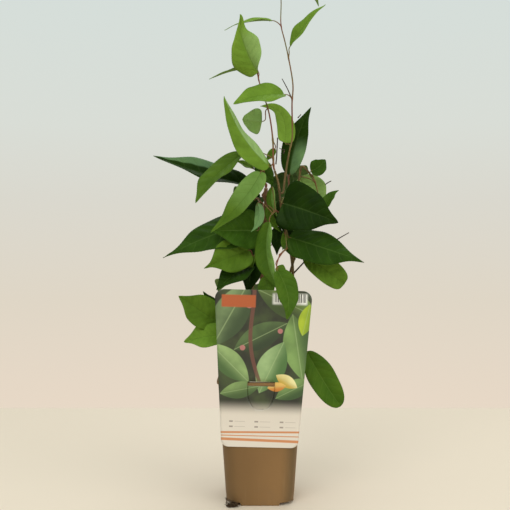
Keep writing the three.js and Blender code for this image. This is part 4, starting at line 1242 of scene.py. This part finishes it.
UPPER_STOPS = [(0.0, 22, 42, 6), (0.2, 34, 60, 6), (0.4, 56, 88, 20), (0.6, 78, 106, 28),
               (0.8, 106, 140, 46), (1.0, 124, 158, 58)]
# Vein greens of the upper side: paler than dark leaves, and from tone 0.6 up darker, a painted shade of the
# grooves.
UPPER_VEIN_AND_GROOVE_SHADE_STOPS = [(0.0, 58, 78, 38), (0.3, 84, 110, 48), (0.5, 96, 122, 50), (0.6, 64, 90, 20),
                    (1.0, 96, 124, 44)]
UNDER_STOPS = [(0.0, 66, 92, 48), (0.4, 88, 116, 58), (0.8, 112, 140, 72), (1.0, 132, 158, 84)]
UNDER_VEIN_STOPS = [(0.0, 104, 130, 84), (1.0, 156, 180, 110)]
# Paler greens, by tone, for the painted highlights on leaves.
PAINTED_SHEEN_STOPS = [(0.0, 96, 128, 92), (0.5, 120, 158, 78), (1.0, 166, 194, 132)]


def leaf_finish(name, stops, vein_stops, rough, relief):
    """A leaf's skin: its green by tone, mottled, paler where a highlight is painted, with a midrib, side
    veins and a fine net of small veins between them. The veins are paler than dark leaves; on the upper
    side of brighter leaves they are darker, a painted shade of the grooves they lie in."""
    finish = Finish(name, Specular_IOR_Level=0.045)
    place = finish.place()
    across, veins = finish.parts(finish.value("blade", "Vector"))[:2]
    tone = finish.value("tone") + (finish.noise(place, 60, 4) - 0.5) * 0.32
    # Painted highlight: paler greens mixed in by each point's share of it.
    base = finish.mix(finish.value("sheen"), finish.ramp(tone, stops), finish.ramp(tone, PAINTED_SHEEN_STOPS))
    vein_and_groove_shade = finish.ramp(tone, vein_stops)
    side = abs(across)
    midrib = 1 - side.rise(0.008, 0.045)
    side_vein = abs(veins.fraction() - 0.5).rise(0.44, 0.5) * (1 - side.rise(0.6, 0.95))
    net = finish.add("TexVoronoi", {"feature": "DISTANCE_TO_EDGE"}, {"Vector": place, "Scale": 620})
    base = finish.mix((1 - net.rise(0.0, 0.12)) * 0.06, base, vein_and_groove_shade)
    base = finish.mix(side_vein * 0.25, base, vein_and_groove_shade)
    finish.feed("Base Color", finish.mix(midrib * 0.5, base, vein_and_groove_shade))
    finish.feed("Roughness", rough + finish.noise(place, 180, 3) * 0.16)
    finish.relief(net.rise(0.0, 0.3) * 0.35 + (1 - side_vein) * 0.5, relief)
    return finish


def twig_finish():
    """Green shoots and leaf stalks, flushed red and brown where the light reaches them."""
    finish = Finish("red_green_twig", Specular_IOR_Level=0.4)
    place = finish.place()
    base = finish.mix(finish.noise(place, 30, 2).rise(0.35, 0.62), (108, 104, 46), (122, 62, 38))
    base = finish.mix(finish.noise(place, 400, 3).rise(0.4, 0.8) * 0.4, base, (82, 50, 34))
    finish.feed("Base Color", base)
    finish.feed("Roughness", 0.45 + finish.noise(place, 300, 2) * 0.15)
    finish.relief(finish.noise(place, 1200, 2), 0.0001)
    return finish


upper_side = leaf_finish("leaf_upper_side", UPPER_STOPS, UPPER_VEIN_AND_GROOVE_SHADE_STOPS, 0.4, 0.00016)
under_side = leaf_finish("leaf_under_side", UNDER_STOPS, UNDER_VEIN_STOPS, 0.5, 0.00022)
twig_parts = []
for order, (name, mass) in enumerate(masses.items()):
    twig = smooth_path([*mass["start"], *mass["through"]])
    leaves = list(mass["leaves"])
    if "more" in mass:
        leaves += leaves_by_rule(twig, **mass["more"])
    length = path_length(twig)
    taper = limb_radius(mass["foot"] * TWIG_SHARE, mass["tip"] * TWIG_SHARE)
    rough = bark_radius(taper, length, order + 5, 0.03, [leaf["on"] for leaf in leaves])
    twig_parts.append(tube(twig, max(24, int(length * 1.1)), TWIG_SIDES, rough))
    blades = []
    for number, leaf in enumerate(leaves):
        twig_parts.append(tube(leaf_stalk(twig, leaf), STALK_ROWS, STALK_SIDES, STALK_RADIUS))
        blades.append(leaf_blade(leaf, np.random.default_rng(100 * order + number)))
    index, flat = (np.concatenate([blade[k] for blade in blades]) for k in (2, 3))
    values = {key: np.concatenate([blade[4][key] for blade in blades]) for key in blades[0][4]}
    make_piece(name.replace("foliage", "leaves"), *join(blades), [upper_side, under_side], "leaf", [name],
               index, flat, values)

make_piece("twigs_and_leaf_stalks", *join(twig_parts), [twig_finish()], "shoot")


# Dead twigs and cut stubs: short dry black-brown ends that stand off the stems where shoots were pruned.
def dry_twig(knots, foot, tip, seed):
    """A bare twig through the knots, deeply ridged, tapering from one radius to another."""
    path = smooth_path(knots)
    length = path_length(path)
    rough = bark_radius(limb_radius(foot, tip), length, seed, 0.1, [])
    return tube(path, max(10, int(length * 1.5)), 10, rough)


dry_parts = [
    dry_twig([(35.4, 2, 430), (30, 1, 442), (24, 0, 453)], 0.75, 0.4, 1),
    dry_twig([(41.5, 4, 411), (45, 4, 415)], 0.7, 0.4, 2),
    dry_twig([(33, 12, 325), (48, 24, 329), (66, 22, 334), (74, 10, 340), (78, 5, 342)], 0.8, 0.5, 3),
    dry_twig([(17.2, -5, 359), (18, -5, 367), (18.4, -5, 375), (19, -4.5, 388)], 0.75, 0.6, 5),
    dry_twig([(25.5, -1, 371), (26.5, -1.5, 375.5), (24.6, -1.5, 375.4), (21, -2, 377)], 0.6, 0.4, 6),
    dry_twig([(36, 5, 240), (58, 2, 262), (84, -5, 278), (96, -8, 285)], 0.9, 0.5, 4),
]
dry_bark = bark_finish("dry_twig_bark", (38, 28, 22), (74, 56, 44), (58, 42, 34))
make_piece("dry_twig_ends", *join(dry_parts), [dry_bark], "shoot")


# Fine roots: a tuft of thin brown roots that has grown out of the front left drain hole and curls up
# against the pot's foot.
ROOT_COUNT = 70


def root_strands(seed):
    """Thin tapering roots from the hole, under the foot and out in front of it, every sixth one upwards."""
    random = np.random.default_rng(seed)
    strands = []
    for k in range(ROOT_COUNT):
        begin = np.array([-28, -31.5, 1.6]) + random.normal(0, 1, 3) * (1.6, 1.4, 0.3)
        under = np.array([-30, -37.2, 1.3]) + random.normal(0, 1, 3) * (2.4, 0.5, 0.25)
        out = np.array([random.uniform(-35, -22), random.uniform(-41.5, -38.6), random.uniform(0.6, 4.5)])
        end = out + np.array([random.uniform(-4, 4), random.uniform(-1.2, 0.8), random.uniform(-3, 3)])
        if k % 6 == 0:
            end = np.array([-35.5, -41.0, 10.0]) + random.uniform(-1.2, 1.2, 3)
        end[2] = max(end[2], 0.45)
        thick = random.uniform(0.2, 0.4)
        strands.append(tube(smooth_path([begin, under, out, end]), 16, 6, limb_radius(thick, 0.4 * thick)))
    return strands


root_skin = bark_finish("fine_root_skin", (48, 35, 22), (88, 64, 40), (66, 48, 30))
make_piece("fine_root_tuft", *join(root_strands(17)), [root_skin], "fine_roots", ["root_tuft"])
